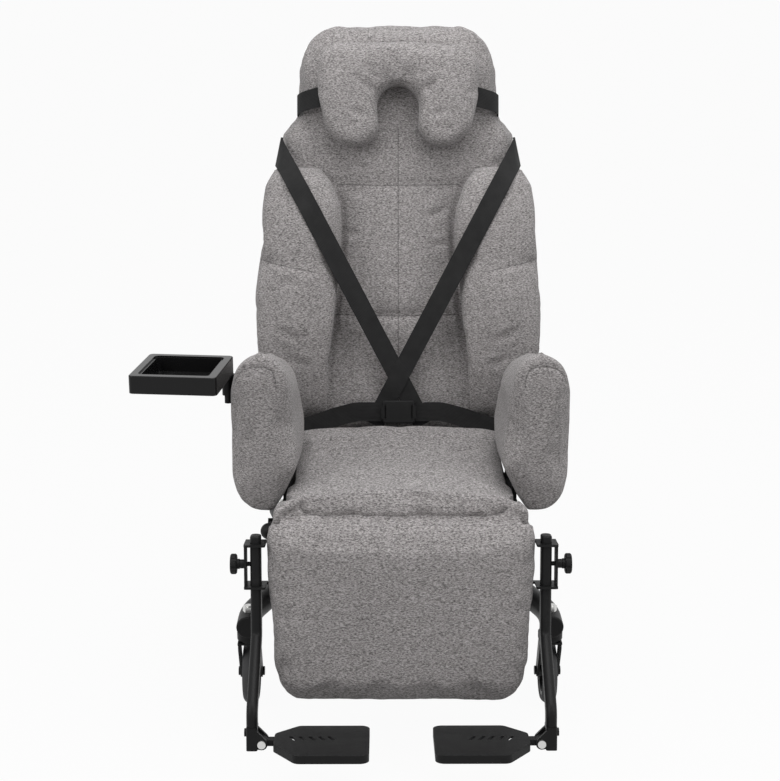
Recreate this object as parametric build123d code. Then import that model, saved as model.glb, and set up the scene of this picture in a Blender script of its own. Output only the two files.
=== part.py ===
from build123d import *
import math
import os

# Care chair in millimetres: +Z up, the sitter faces -Y, the floor is z = 0, x = 0 is the plane of symmetry.

# Driving dimensions: fits
RUN_FIT = 0.05
SLIDE_FIT = 0.15
SOFT_GAP = 0.4
SHEET = 4.0

# Driving dimensions: base and casters
BASE_TUBE_R = 21.5
BASE_TUBE_WALL = 2.5
CASTER_X = 285.0
CASTER_FRONT_Y = -148.0
CASTER_REAR_Y = 425.0
CASTER_REAR_X = 262.0
TUBE_OVERHANG = 26.0
TUBE_STRAIGHT = 40.0
WAIST_X = 214.0
WAIST_FRONT_Y = 70.0
WAIST_REAR_Y = 230.0
WAIST_BEND_R = 150.0
CROSS_TUBE_R = 19.0
CROSS_FRONT_Y = 20.0
CROSS_REAR_Y = 205.0
CAP_LENGTH = 5.0
CAP_PLUG_LENGTH = 16.0
WHEEL_R = 62.5
WHEEL_WIDTH = 28.0
HUB_R = 47.0
HUB_RECESS = 7.0
TRAIL = 30.0
STEM_R = 6.0
NUT_FLATS = 19.0
NUT_HEIGHT = 10.0
AXLE_R = 5.0
FORK_CLEARANCE = 3.0
FORK_CROWN_R = 23.0
FORK_CROWN_HEIGHT = 15.0
WHEEL_TOP_GAP = 14.0
PEDAL_WIDTH = 24.0
PEDAL_REACH = 74.0
PEDAL_THICK = 6.0
PEDAL_PIVOT_R = 4.0

# Driving dimensions: seat
RAIL_X = 190.0
RAIL_WIDTH = 20.0
RAIL_HEIGHT = 40.0
RAIL_WALL = 2.0
RAIL_TOP = 405.0
RAIL_FRONT_Y = -225.0
RAIL_REAR_Y = 205.0
CROSS_RAIL_HEIGHT = 25.0
CROSS_RAIL_WIDTH = 30.0
POST_DEPTH = 40.0
BOARD_THICK = 12.0
SEAT_FRONT_Y = -262.0
SEAT_REAR_Y = 156.0
SEAT_FRONT_HALF = 233.0
SEAT_REAR_HALF = 205.0
SEAT_STEP_Y = -207.0
SEAT_EDGE_Z = 457.0
SEAT_CROWN = 15.0
SEAT_ROLL = 26.0

# Driving dimensions: back, in a frame that turns about its hinge
BACK_AXIS_Y = 215.0
BACK_AXIS_Z = 425.0
BACK_TILT = 15.8
BACK_BOTTOM = 2.0
TONGUE_HALF = 150.0
BACK_TOP = 853.0
SHELL_BOTTOM = 30.0
SHELL_FRONT = 15.0
SHELL_THICK = 25.0
BACK_PAD = 60.0
BACK_CROWN = 14.0
BACK_CORNER = 18.0
BACK_END = 34.0
BACK_TOP_HALF = 105.0
BACK_TOP_CORNER = 110.0
SEAM_LOW = 254.0
SEAM_HIGH = 520.0
SEAM_DEPTH = 7.0
SEAM_WIDTH = 12.0
WING_INNER = 112.0
WING_OUTER = 288.0
WING_BOTTOM = 50.0
WING_TOP = 553.0
WING_SEAM = 358.0
WING_DEPTH = 92.0
WING_END = 40.0
BACK_TUBE_R = 12.5
BACK_TUBE_X = 150.0
BACK_TUBE_TOP = 640.0
BACK_TUBE_WALL = 2.0
HIGH_TUBE_R = 10.5
BACK_PIN_R = 6.0
BACK_PIN_HEAD_R = 10.0
HINGE_PLATE = 8.0
HINGE_PLATE_R = 15.0
LEVER_ARM = 90.0
RECLINE = 35.0
GAS_PIN_R = 4.0
GAS_EYE_SLACK = 4.0
GAS_FRONT_Y = -140.0
GAS_CYLINDER_R = 12.0
GAS_WALL = 2.0
GAS_ROD_R = 5.0
GAS_EYE_R = 13.0
GAS_EYE_WIDTH = 12.0
GAS_ARM_R = 11.0
PUSH_TUBE_R = 11.0
PUSH_REACH = 100.0
PUSH_HEIGHT = 590.0
PUSH_DROP = 40.0
GRIP_WALL = 4.0
GRIP_LENGTH = 180.0
LEVER_DROP = 30.0
LEVER_LENGTH = 112.0
LEVER_WIDTH = 14.0
LEVER_THICK = 6.0

# Driving dimensions: head cushion and harness
HEAD_HALF = 162.0
HEAD_TOP = 796.0
HEAD_BOTTOM = 591.0
HEAD_NOTCH_HALF = 38.0
HEAD_NOTCH_TOP = 708.0
HEAD_CORNER = 46.0
HEAD_LOBE = 40.0
HEAD_THICK = 66.0
WEB_THICK = 2.0
WEB_WIDTH = 40.0
BAND_BOTTOM = 670.0
BAND_HALF = 205.0
SHOULDER_X = 245.0
SHOULDER_Z = 590.0
EDGE_LOW = 560.0
EDGE_HIGH = 632.0
EDGE_LOW_HALF = 251.0
CROSSING_Z = 126.0
STRAP_FLAP = 26.0
BELT_Z = 37.0
BELT_FRONT = -98.0
BELT_SIDE_X = 232.0
BUCKLE_WIDTH = 66.0
BUCKLE_HEIGHT = 46.0
BUCKLE_DEPTH = 16.0
LATCH_WIDTH = 7.0
LATCH_HEIGHT = 26.0
LATCH_DEPTH = 6.0
LATCH_PROUD = 2.0
LATCH_TRAVEL = 2.5

# Driving dimensions: legrest and footrests, in a frame that turns about the legrest hinge
LEG_AXIS_Y = -274.0
LEG_AXIS_Z = 414.0
LEG_TILT = 9.5
LEG_BACK = -12.0
LEG_PAD = 32.0
LEG_CROWN = 8.0
LEG_END = 36.0
LEG_TOP = 10.0
LEG_BOTTOM = -306.0
LEG_HALF_TOP = 236.0
LEG_HALF_LOW = 226.0
LEG_BOARD = 12.0
LEG_BOARD_INSET = 16.0
LEG_BOARD_CORNER = 60.0
LEG_BOARD_TOP = -16.0
LEG_PIN_R = 5.0
LEG_KNUCKLE_R = 9.0
LEG_HINGE_X = 150.0
LEG_KNUCKLE_WIDTH = 30.0
LEG_LUG = 6.0
LUG_FOOT_R = 8.0
LEG_STRAP_LENGTH = 190.0
FOOT_GAP = 19.0
FOOT_Y = -18.0
FOOT_WIDTH = 19.0
FOOT_DEPTH = 30.0
FOOT_WALL = 2.0
FOOT_TOP = -12.0
FOOT_BEND_TOP = -186.0
FOOT_BEND_BOTTOM = -290.0
FOOT_END = -314.0
FOOT_FORWARD = -125.0
FOOT_BEND_R = 45.0
CAP_HEIGHT = 6.0
BRACKET_UPPER = -20.0
BRACKET_LOWER = -95.0
BRACKET_REACH = 20.0
BRACKET_RIM = 6.0
KNOB_R = 18.0
KNOB_WIDTH = 11.0
KNOB_LOBES = 7
KNOB_SCREW_R = 4.0
WELD_NUT = 8.0
PLATE_TOP = -337.0
PLATE_BACK = -60.0
PLATE_DEPTH = 150.0
PLATE_INNER = 55.0
PLATE_NECK = 20.0
PLATE_BEVEL = 40.0
PLATE_NOSE = 26.0
PLATE_THICK = 14.0
PLATE_RIM = 5.0
PLATE_SKIN = 4.0
PLATE_SLOTS = 5
SLOT_LENGTH = 22.0
SLOT_WIDTH = 6.0
SLOT_LEAN = 60.0
PIVOT_IN = 17.0
PIVOT_R = 4.0
PIVOT_KNUCKLE_R = 9.0
PIVOT_DROP = 5.0
CLEVIS_LUG = 6.0
CLEVIS_GAP = 20.0
LEVER_BALL_R = 15.0
LEVER_PIVOT_Y = -150.0
LEVER_BALL_Y = -215.0
LEVER_PIVOT_Z = 380.0
LEVER_X = 238.0
LEVER_ROD_R = 4.0

# Driving dimensions: armrests and tray
ARM_OUTER = 304.0
ARM_INNER = 180.0
ARM_TOP = 710.0
ARM_FALL = 74.0
ARM_BOTTOM = 416.0
ARM_FRONT_Y = -206.0
ARM_REAR_Y = 92.0
ARM_CORNER = 54.0
ARM_FOOT_R = 54.0
ARM_CROWN = 9.0
ARM_ROLL = 18.0
ARM_SLOPE_TOP = 500.0
ARM_SLOPE_X = 224.0
BAR_X = 213.0
BAR_WIDTH = 30.0
BAR_THICK = 8.0
BAR_BOTTOM = 322.0
BAR_TOP = 540.0
BAR_FRONT_Y = -110.0
BAR_REAR_Y = 40.0
SOCKET_WALL = 3.0
SOCKET_BOTTOM = 330.0
TRAY_SIZE = 160.0
TRAY_HEIGHT = 33.0
TRAY_RIM = 18.0
TRAY_FLOOR = 5.0
TRAY_CORNER = 9.0
TRAY_YAW = 6.0
TRAY_BOTTOM = 637.0
TRAY_POST_X = -324.0
TRAY_POST_Y = -27.0
TRAY_POST_R = 7.0
TRAY_POST_LENGTH = 62.0
TRAY_SIDE = 15.0
TRAY_AHEAD = 10.0
TRAY_LUG_R = 11.0
TRAY_PALM_R = 26.0
TRAY_LUG_HEIGHT = 40.0
TRAY_PLATE_HEIGHT = 80.0
TRAY_PLATE_WIDTH = 46.0

# Worked-out places
TUBE_Z = WHEEL_R * 2 + WHEEL_TOP_GAP + FORK_CROWN_HEIGHT + SHEET + BASE_TUBE_R + 0.3
TUBE_BOTTOM = TUBE_Z - BASE_TUBE_R
BACK_FRONT = SHELL_FRONT - BACK_PAD
TUBE_BACK = SHELL_FRONT + SHELL_THICK + BACK_TUBE_R
ARM_ANGLE = RECLINE / 2
GAS_REAR_Y = BACK_AXIS_Y + LEVER_ARM * math.sin(math.radians(ARM_ANGLE))
GAS_Z = BACK_AXIS_Z - LEVER_ARM * math.cos(math.radians(ARM_ANGLE))
BACK_AT = Location((0, BACK_AXIS_Y, BACK_AXIS_Z), (-BACK_TILT, 0, 0))
LEG_AT = Location((0, LEG_AXIS_Y, LEG_AXIS_Z), (-LEG_TILT, 0, 0))
PLATE_MID = FOOT_FORWARD
PIVOT_Z = PLATE_TOP - PIVOT_DROP
FORK_HALF = WHEEL_WIDTH / 2 + FORK_CLEARANCE
FOOT_X = max(LEG_HALF_TOP, LEG_HALF_LOW) + FOOT_GAP
BRACKET_OUT = FOOT_X + BRACKET_REACH
PIVOT_X = FOOT_X - PIVOT_IN
PLATE_OUTER = PIVOT_X - PLATE_NECK
LEG_BOARD_HALF = LEG_HALF_LOW - LEG_BOARD_INSET
parts = {}


def mirrored(shape):
    """The same piece on the other side of the chair."""
    return mirror(shape, about=Plane.YZ)


def rod(start, end, radius):
    """A straight round bar between two points."""
    way = Vector(*end) - Vector(*start)
    return extrude(Plane(start, z_dir=way) * Circle(radius), way.length)


def block(x0, x1, y0, y1, z0, z1):
    """A box between two corners."""
    middle = Pos((x0 + x1) / 2, (y0 + y1) / 2, (z0 + z1) / 2)
    return middle * Box(abs(x1 - x0), abs(y1 - y0), abs(z1 - z0))


def hull(*shapes):
    """The flat outline stretched round some flat shapes."""
    return make_hull([edge for shape in shapes for edge in shape.edges()])


def side_plate(x0, x1, *discs):
    """A flat plate standing across X, hulled round discs given as (y, z, radius)."""
    outline = hull(*[Pos(y, z) * Circle(radius) for y, z, radius in discs])
    return extrude(Plane((x0, 0, 0), x_dir=(0, 1, 0), z_dir=(1, 0, 0)) * outline, x1 - x0)


def along(table, height):
    """A value at a height, along straight runs between a table's points."""
    for (z0, v0), (z1, v1) in zip(table, table[1:]):
        if z0 <= height <= z1:
            return v0 + (v1 - v0) * (height - z0) / (z1 - z0)
    return table[-1][1]


def roundness(distance, reach):
    """How full a pad is at a distance from its end: a quarter of an ellipse over the reach."""
    short = max(0.0, 1 - distance / reach)
    return math.sqrt(1 - short * short)


def inset_at(distance, radius):
    """How far a rounded edge lies inside the outline at a distance from the end."""
    return radius * (1 - roundness(distance, radius))


def levels(low, high, reach, step, seams=()):
    """Heights for a pad's sections: close at both ends and at the seams, wider between."""
    ends = [reach * part for part in (0.06, 0.2, 0.5)]
    marks = [low + d for d in ends] + [high - d for d in ends]
    marks += [seam + d for seam in seams for d in (-SEAM_WIDTH, 0, SEAM_WIDTH)]
    count = max(2, round((high - low - 2 * reach) / step))
    plain = [low + reach + (high - low - 2 * reach) * i / count for i in range(count + 1)]
    marks += [z for z in plain if all(abs(z - seam) > 1.5 * SEAM_WIDTH for seam in seams)]
    return sorted(marks)


def pad_section(height, x0, x1, back, edge, crown, corner):
    """A flat-backed, crowned cushion section across X at one height."""
    front = back - edge
    near = corner * (1 - math.sqrt(0.5))
    sides = [
        Line((x0, back), (x1, back)),
        Line((x1, back), (x1, front + corner)),
        ThreePointArc((x1, front + corner), (x1 - near, front + near), (x1 - corner, front)),
        ThreePointArc((x1 - corner, front), ((x0 + x1) / 2, front - crown), (x0 + corner, front)),
        ThreePointArc((x0 + corner, front), (x0 + near, front + near), (x0, front + corner)),
        Line((x0, front + corner), (x0, back)),
    ]
    return Pos(0, 0, height) * make_face(Curve() + sides)


def ribbon(route, bend, first, last):
    """Webbing that follows a bent line in XY and is as wide as first to last along Z."""
    line = FilletPolyline(*route, radius=bend)
    outline = trace(line, line_width=WEB_THICK)
    return extrude(Pos(0, 0, first) * outline, last - first)


# Base: two side tubes that splay to the casters, drawn in at the waist
def base_route(side):
    rear_way = (Vector(CASTER_REAR_X, CASTER_REAR_Y) - Vector(WAIST_X, WAIST_REAR_Y)).normalized()
    front = Vector(CASTER_X, CASTER_FRONT_Y - TUBE_OVERHANG)
    bend = Vector(CASTER_X, CASTER_FRONT_Y + TUBE_STRAIGHT)
    rear = Vector(CASTER_REAR_X, CASTER_REAR_Y) + rear_way * TUBE_OVERHANG
    corners = [front, bend, Vector(WAIST_X, WAIST_FRONT_Y), Vector(WAIST_X, WAIST_REAR_Y), rear]
    return FilletPolyline(*[(side * p.X, p.Y, TUBE_Z) for p in corners], radius=WAIST_BEND_R)


def swept(route, section):
    """A section carried along a route from its start."""
    return sweep(Plane(route @ 0, z_dir=route % 0) * section, path=route)


CASTERS = {
    "front_left": (-CASTER_X, CASTER_FRONT_Y),
    "front_right": (CASTER_X, CASTER_FRONT_Y),
    "rear_left": (-CASTER_REAR_X, CASTER_REAR_Y),
    "rear_right": (CASTER_REAR_X, CASTER_REAR_Y),
}
base_routes = [base_route(side) for side in (-1, 1)]
base_bars = [swept(route, Circle(BASE_TUBE_R)) for route in base_routes]
base_bores = [swept(route, Circle(BASE_TUBE_R - BASE_TUBE_WALL)) for route in base_routes]
stem_holes = [Pos(x, y, TUBE_Z) * Cylinder(STEM_R, 4 * BASE_TUBE_R) for x, y in CASTERS.values()]
parts["base_side_tubes"] = [
    bar - bore - stem_holes for bar, bore in zip(base_bars, base_bores)
]


def cross_tube(y):
    ends = (-WAIST_X, y, TUBE_Z), (WAIST_X, y, TUBE_Z)
    return rod(*ends, CROSS_TUBE_R) - rod(*ends, CROSS_TUBE_R - BASE_TUBE_WALL) - base_bars


cross_tubes = [cross_tube(y).solids()[0] for y in (CROSS_FRONT_Y, CROSS_REAR_Y)]


def end_cap(route, at, outward):
    place = Plane(route @ at, z_dir=(route % at) * outward)
    dome = extrude(Circle(BASE_TUBE_R), CAP_LENGTH)
    dome = fillet(dome.faces().sort_by(Axis.Z)[-1].edges(), CAP_LENGTH * 0.7)
    plug = extrude(Circle(BASE_TUBE_R - BASE_TUBE_WALL), -CAP_PLUG_LENGTH)
    return place * (dome + plug)


caps = [end_cap(route, at, way) for route in base_routes for at, way in ((0, -1), (1, 1))]
parts["base_end_caps"] = [cap - stem_holes for cap in caps]


# Seat: posts on the cross tubes, hollow rails, board and cushion
def seat_post(x, y):
    outer = block(x - RAIL_WIDTH / 2, x + RAIL_WIDTH / 2, y - POST_DEPTH / 2, y + POST_DEPTH / 2,
                  TUBE_Z, RAIL_TOP - RAIL_HEIGHT)
    inner = block(x - RAIL_WIDTH / 2 + RAIL_WALL, x + RAIL_WIDTH / 2 - RAIL_WALL,
                  y - POST_DEPTH / 2 + RAIL_WALL, y + POST_DEPTH / 2 - RAIL_WALL,
                  TUBE_Z, RAIL_TOP - RAIL_HEIGHT)
    carrier = rod((-WAIST_X, y, TUBE_Z), (WAIST_X, y, TUBE_Z), CROSS_TUBE_R)
    cut = (outer - inner) - carrier - base_bars
    return cut.solids().sort_by(SortBy.VOLUME)[-1]


seat_posts = [seat_post(x, y) for x in (-RAIL_X, RAIL_X) for y in (CROSS_FRONT_Y, CROSS_REAR_Y)]
parts["base_cross_frames"] = cross_tubes + seat_posts


def side_rail():
    x0 = RAIL_X - RAIL_WIDTH / 2
    x1 = RAIL_X + RAIL_WIDTH / 2
    rail = block(x0, x1, RAIL_FRONT_Y, RAIL_REAR_Y, RAIL_TOP - RAIL_HEIGHT, RAIL_TOP)
    rail -= block(x0 + RAIL_WALL, x1 - RAIL_WALL, RAIL_FRONT_Y, RAIL_REAR_Y,
                  RAIL_TOP - RAIL_HEIGHT + RAIL_WALL, RAIL_TOP - RAIL_WALL)
    lug = side_plate(x0, x0 + HINGE_PLATE, (BACK_AXIS_Y, BACK_AXIS_Z, HINGE_PLATE_R),
                     (RAIL_REAR_Y - HINGE_PLATE_R, RAIL_TOP - RAIL_HEIGHT / 2, HINGE_PLATE_R))
    rail += lug
    pin = (x0, BACK_AXIS_Y, BACK_AXIS_Z), (x0 + HINGE_PLATE, BACK_AXIS_Y, BACK_AXIS_Z)
    return rail - rod(*pin, BACK_PIN_R)


right_rail = side_rail()
parts["seat_side_rails"] = [mirrored(right_rail), right_rail]


def cross_rail(y):
    half = RAIL_X - RAIL_WIDTH / 2
    y0 = y - CROSS_RAIL_WIDTH / 2
    y1 = y + CROSS_RAIL_WIDTH / 2
    z0 = RAIL_TOP - CROSS_RAIL_HEIGHT
    bar = block(-half, half, y0, y1, z0, RAIL_TOP)
    return bar - block(-half, half, y0 + RAIL_WALL, y1 - RAIL_WALL, z0 + RAIL_WALL, RAIL_TOP - RAIL_WALL)


def legrest_lug(x0, x1):
    pivot = (LEG_AXIS_Y, LEG_AXIS_Z, LEG_KNUCKLE_R + 1)
    foot = (RAIL_FRONT_Y + LUG_FOOT_R, RAIL_TOP - CROSS_RAIL_HEIGHT + SHEET, LUG_FOOT_R)
    bore = rod((x0, LEG_AXIS_Y, LEG_AXIS_Z), (x1, LEG_AXIS_Y, LEG_AXIS_Z), LEG_PIN_R)
    return side_plate(x0, x1, pivot, foot) - bore


def gas_lug(x0, x1):
    pivot = (GAS_FRONT_Y, GAS_Z, GAS_EYE_R - 1)
    foot = (GAS_FRONT_Y, RAIL_TOP - CROSS_RAIL_HEIGHT / 2, CROSS_RAIL_HEIGHT / 2)
    bore = rod((x0, GAS_FRONT_Y, GAS_Z), (x1, GAS_FRONT_Y, GAS_Z), AXLE_R)
    return side_plate(x0, x1, pivot, foot) - bore


knuckle = LEG_KNUCKLE_WIDTH / 2 + SOFT_GAP
leg_lugs = [
    legrest_lug(side * LEG_HINGE_X + a, side * LEG_HINGE_X + a + LEG_LUG)
    for side in (-1, 1) for a in (-knuckle - LEG_LUG, knuckle)
]
gas_half = GAS_EYE_WIDTH / 2 + SOFT_GAP
gas_lugs = [gas_lug(-gas_half - LEG_LUG, -gas_half), gas_lug(gas_half, gas_half + LEG_LUG)]
front_rail = cross_rail(RAIL_FRONT_Y + CROSS_RAIL_WIDTH / 2) + leg_lugs
middle_rail = cross_rail(GAS_FRONT_Y) + gas_lugs
rear_rail = cross_rail(RAIL_REAR_Y - 2 * CROSS_RAIL_WIDTH)
parts["seat_cross_rails"] = [front_rail, middle_rail, rear_rail]

board_bottom = RAIL_TOP
board_top = RAIL_TOP + BOARD_THICK
board_front = SEAT_FRONT_Y + 2.6 * BOARD_THICK
seat_board = block(-SEAT_REAR_HALF, SEAT_REAR_HALF, board_front, SEAT_REAR_Y, board_bottom, board_top)
board_wing = SEAT_FRONT_HALF - 1.5 * BOARD_THICK
seat_board += block(-board_wing, board_wing, board_front, SEAT_STEP_Y, board_bottom, board_top)
seat_board = fillet(seat_board.edges().filter_by(Axis.Z), SHEET)
parts["seat_board"] = [seat_board]


def seat_section(y, half, bottom, edge_z, crown, corner):
    near = corner * (1 - math.sqrt(0.5))
    sides = [
        Line((-half, bottom), (half, bottom)),
        Line((half, bottom), (half, edge_z - corner)),
        ThreePointArc((half, edge_z - corner), (half - near, edge_z - near), (half - corner, edge_z)),
        ThreePointArc((half - corner, edge_z), (0, edge_z + crown), (corner - half, edge_z)),
        ThreePointArc((corner - half, edge_z), (near - half, edge_z - near), (-half, edge_z - corner)),
        Line((-half, edge_z - corner), (-half, bottom)),
    ]
    return Plane((0, y, 0), x_dir=(1, 0, 0), z_dir=(0, -1, 0)) * make_face(Curve() + sides)


def seat_at(y):
    depth = min(y - SEAT_FRONT_Y, SEAT_REAR_Y - y)
    inset = inset_at(depth, SEAT_ROLL)
    return seat_section(y, SEAT_FRONT_HALF - inset * 0.4, board_bottom + inset * 0.3,
                        SEAT_EDGE_Z - inset * 0.6, SEAT_CROWN - inset * 0.3, SEAT_ROLL * 0.8 - inset * 0.4)


seat_rows = levels(SEAT_FRONT_Y, SEAT_REAR_Y, SEAT_ROLL, 95.0)
seat_form = loft([seat_at(y) for y in reversed(seat_rows)], ruled=True)
seat_steps = [
    block(side * SEAT_REAR_HALF, side * SEAT_FRONT_HALF * 1.2, SEAT_STEP_Y, SEAT_REAR_Y + SEAT_ROLL,
          0, ARM_TOP)
    for side in (-1, 1)
]
seat_bed = block(-SEAT_FRONT_HALF, SEAT_FRONT_HALF, board_front - SOFT_GAP, SEAT_REAR_Y + SEAT_ROLL,
                 0, board_top)
lug_reach = knuckle + LEG_LUG + SHEET
seat_slots = [
    block(side * LEG_HINGE_X - lug_reach, side * LEG_HINGE_X + lug_reach,
          SEAT_FRONT_Y - SHEET, board_front, 0, board_top + SHEET)
    for side in (-1, 1)
]
parts["seat_cushion"] = [seat_form - seat_steps - seat_bed - seat_slots]


def hinge_pin(x0, x1, y, z, radius, head_radius, head):
    """A pin across X with a flat head outside each end."""
    near_head = rod((x0 - head, y, z), (x0, y, z), head_radius)
    far_head = rod((x1, y, z), (x1 + head, y, z), head_radius)
    return rod((x0, y, z), (x1, y, z), radius) + near_head + far_head


plate_inner = RAIL_X - RAIL_WIDTH / 2 - SOFT_GAP - HINGE_PLATE
lug_end = RAIL_X - RAIL_WIDTH / 2 + HINGE_PLATE
back_pin = hinge_pin(plate_inner - SOFT_GAP, lug_end, BACK_AXIS_Y, BACK_AXIS_Z,
                     BACK_PIN_R, BACK_PIN_HEAD_R, SHEET)
leg_half = knuckle + LEG_LUG
leg_pin = hinge_pin(LEG_HINGE_X - leg_half, LEG_HINGE_X + leg_half, LEG_AXIS_Y, LEG_AXIS_Z,
                    LEG_PIN_R, LEG_PIN_R + 3, SHEET / 2)
gas_pin = hinge_pin(-gas_half - LEG_LUG, gas_half + LEG_LUG, GAS_FRONT_Y, GAS_Z,
                    AXLE_R, AXLE_R + 3, SHEET / 2)
parts["hinge_pins"] = [mirrored(back_pin), back_pin, mirrored(leg_pin), leg_pin, gas_pin]


# Armrest sockets on the seat rails, hollow for the flat bars
def socket(side, y):
    x_in = RAIL_X + RAIL_WIDTH / 2
    half_bar = BAR_THICK / 2 + SLIDE_FIT
    half_width = BAR_WIDTH / 2 + SLIDE_FIT
    half_sleeve = half_width + SOCKET_WALL
    sleeve = block(x_in, BAR_X + half_bar + SOCKET_WALL, y - half_sleeve, y + half_sleeve,
                   SOCKET_BOTTOM, RAIL_TOP)
    sleeve -= block(BAR_X - half_bar, BAR_X + half_bar, y - half_width, y + half_width,
                    SOCKET_BOTTOM, RAIL_TOP)
    return sleeve if side > 0 else mirrored(sleeve)


parts["armrest_sockets"] = [socket(side, y) for side in (-1, 1) for y in (BAR_FRONT_Y, BAR_REAR_Y)]


# Casters: stem bolt with a nut on the tube, fork with axle bolt, hub and tyre
crown_top = TUBE_BOTTOM - 0.3
crown_bottom = crown_top - FORK_CROWN_HEIGHT
fork_top = crown_bottom
stem_bottom = fork_top - SHEET + 1


def stem_bolt(x, y):
    foot = TUBE_Z + BASE_TUBE_R
    shank = rod((x, y, stem_bottom), (x, y, foot + NUT_HEIGHT + 2), STEM_R)
    hexagon = RegularPolygon(NUT_FLATS / 2, 6, major_radius=False)
    return shank + (extrude(Pos(x, y, foot) * hexagon, NUT_HEIGHT) - base_bars)


parts["caster_stem_bolts"] = [stem_bolt(x, y) for x, y in CASTERS.values()]


def caster_fork():
    head = Pos(0, 0, crown_bottom) * extrude(Circle(FORK_CROWN_R), FORK_CROWN_HEIGHT)
    head = fillet(head.faces().sort_by(Axis.Z)[0].edges(), SHEET)
    bridge = block(-FORK_HALF - SHEET, FORK_HALF + SHEET, -FORK_CROWN_R + 3, FORK_CROWN_R - 3,
                   fork_top - SHEET, fork_top)
    legs = [
        side_plate(x, x + SHEET, (0, fork_top - FORK_CROWN_R / 2 - SHEET / 2, FORK_CROWN_R / 2 + SHEET / 2),
                   (TRAIL, WHEEL_R, 2.4 * AXLE_R))
        for x in (-FORK_HALF - SHEET, FORK_HALF)
    ]
    web = block(-FORK_CROWN_R + 3, FORK_CROWN_R - 3, -3, 3, fork_top - SHEET, fork_top)
    fork = head + bridge + legs + web
    fork -= rod((0, 0, 0), (0, 0, TUBE_Z), STEM_R + RUN_FIT)
    axle_way = (-2 * FORK_HALF, TRAIL, WHEEL_R), (2 * FORK_HALF, TRAIL, WHEEL_R)
    return fork - rod(*axle_way, AXLE_R)


def caster_axle():
    reach = FORK_HALF + SHEET
    return hinge_pin(-reach, reach, TRAIL, WHEEL_R, AXLE_R, 1.7 * AXLE_R, SHEET)


def wheel_hub():
    half = WHEEL_WIDTH / 2 - 2
    bore = AXLE_R + RUN_FIT
    boss = 2.2 * AXLE_R
    boss_end = FORK_HALF - 0.3
    profile = Polyline(
        (bore, 0), (bore, boss_end), (boss, boss_end), (boss, half - HUB_RECESS),
        (HUB_R - 8, half - HUB_RECESS), (HUB_R - 6, half), (HUB_R, half), (HUB_R, 0), close=True)
    half_hub = revolve(make_face(profile), Axis.Y)
    hub = half_hub + mirror(half_hub, about=Plane.XZ)
    return Pos(0, TRAIL, WHEEL_R) * (Rot(0, 0, 90) * hub)


def tyre():
    half = WHEEL_WIDTH / 2
    shoulder = 9.0
    outline = [
        Line((HUB_R, -half + 2), (HUB_R, half - 2)),
        Line((HUB_R, half - 2), (HUB_R + 3, half)),
        Line((HUB_R + 3, half), (WHEEL_R - shoulder, half)),
        ThreePointArc((WHEEL_R - shoulder, half), (WHEEL_R, 0), (WHEEL_R - shoulder, -half)),
        Line((WHEEL_R - shoulder, -half), (HUB_R + 3, -half)),
        Line((HUB_R + 3, -half), (HUB_R, -half + 2)),
    ]
    ring = revolve(make_face(Curve() + outline), Axis.Y)
    return Pos(0, TRAIL, WHEEL_R) * (Rot(0, 0, 90) * ring)


pedal_y = FORK_CROWN_R + 2 * PEDAL_PIVOT_R + 1
pedal_z = crown_top - 2 * PEDAL_PIVOT_R - 0.5
pedal_half = PEDAL_WIDTH / 2


def pedal_ears():
    ears = [
        side_plate(x, x + SHEET, (pedal_y, pedal_z, 2 * PEDAL_PIVOT_R), (0, crown_bottom + 6, 6))
        for x in (-pedal_half - SOFT_GAP - SHEET, pedal_half + SOFT_GAP)
    ]
    reach = pedal_half + SOFT_GAP + SHEET
    return Part() + ears + rod((-reach, pedal_y, pedal_z), (reach, pedal_y, pedal_z), PEDAL_PIVOT_R)


def brake_pedal():
    arm = side_plate(-pedal_half, pedal_half, (pedal_y, pedal_z, 1.9 * PEDAL_PIVOT_R),
                     (pedal_y + PEDAL_REACH, pedal_z - PEDAL_THICK, PEDAL_THICK / 2))
    tread = side_plate(-pedal_half - 8, pedal_half + 8,
                       (pedal_y + PEDAL_REACH - PEDAL_WIDTH, pedal_z - PEDAL_THICK / 2, PEDAL_THICK / 2),
                       (pedal_y + PEDAL_REACH, pedal_z - PEDAL_THICK, PEDAL_THICK / 2))
    bore = (-pedal_half, pedal_y, pedal_z), (pedal_half, pedal_y, pedal_z)
    return arm + tread - rod(*bore, PEDAL_PIVOT_R + RUN_FIT)


fork_form = caster_fork()
axle_form = caster_axle()
hub_form = wheel_hub()
tyre_form = tyre()
for name, (x, y) in CASTERS.items():
    at = Pos(x, y, 0)
    braked = name.startswith("rear")
    fork = fork_form + pedal_ears() if braked else fork_form
    parts[f"caster_fork_{name}"] = [at * fork, at * axle_form]
    parts[f"caster_wheel_{name}"] = [at * hub_form, at * tyre_form]
    if braked:
        parts[f"brake_pedal_{name}"] = [at * brake_pedal()]


# Back shell and cushion share one outline of half widths by height
edge_fall = math.atan2(EDGE_LOW_HALF - SHOULDER_X, SHOULDER_Z - EDGE_LOW)
BACK_OUTLINE = [
    (BACK_BOTTOM, TONGUE_HALF),
    (SHELL_BOTTOM - 10, TONGUE_HALF + 8),
    (SHELL_BOTTOM + 8, 224.0),
    (SHELL_BOTTOM + 60, 236.0),
    (SEAM_LOW, 246.0),
    (SEAM_HIGH, 252.0),
    (EDGE_LOW, EDGE_LOW_HALF),
    (EDGE_HIGH, EDGE_LOW_HALF - (EDGE_HIGH - EDGE_LOW) * math.tan(edge_fall)),
    (BAND_BOTTOM - 4, BAND_HALF),
    (BACK_TOP, BAND_HALF),
]


def back_half(height):
    drop = 1 - roundness(BACK_TOP - height, BACK_TOP_CORNER)
    return along(BACK_OUTLINE, height) - (BAND_HALF - BACK_TOP_HALF) * drop


CROWN_LOW = WING_TOP - 40
CROWN_HIGH = WING_TOP + 70


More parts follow.
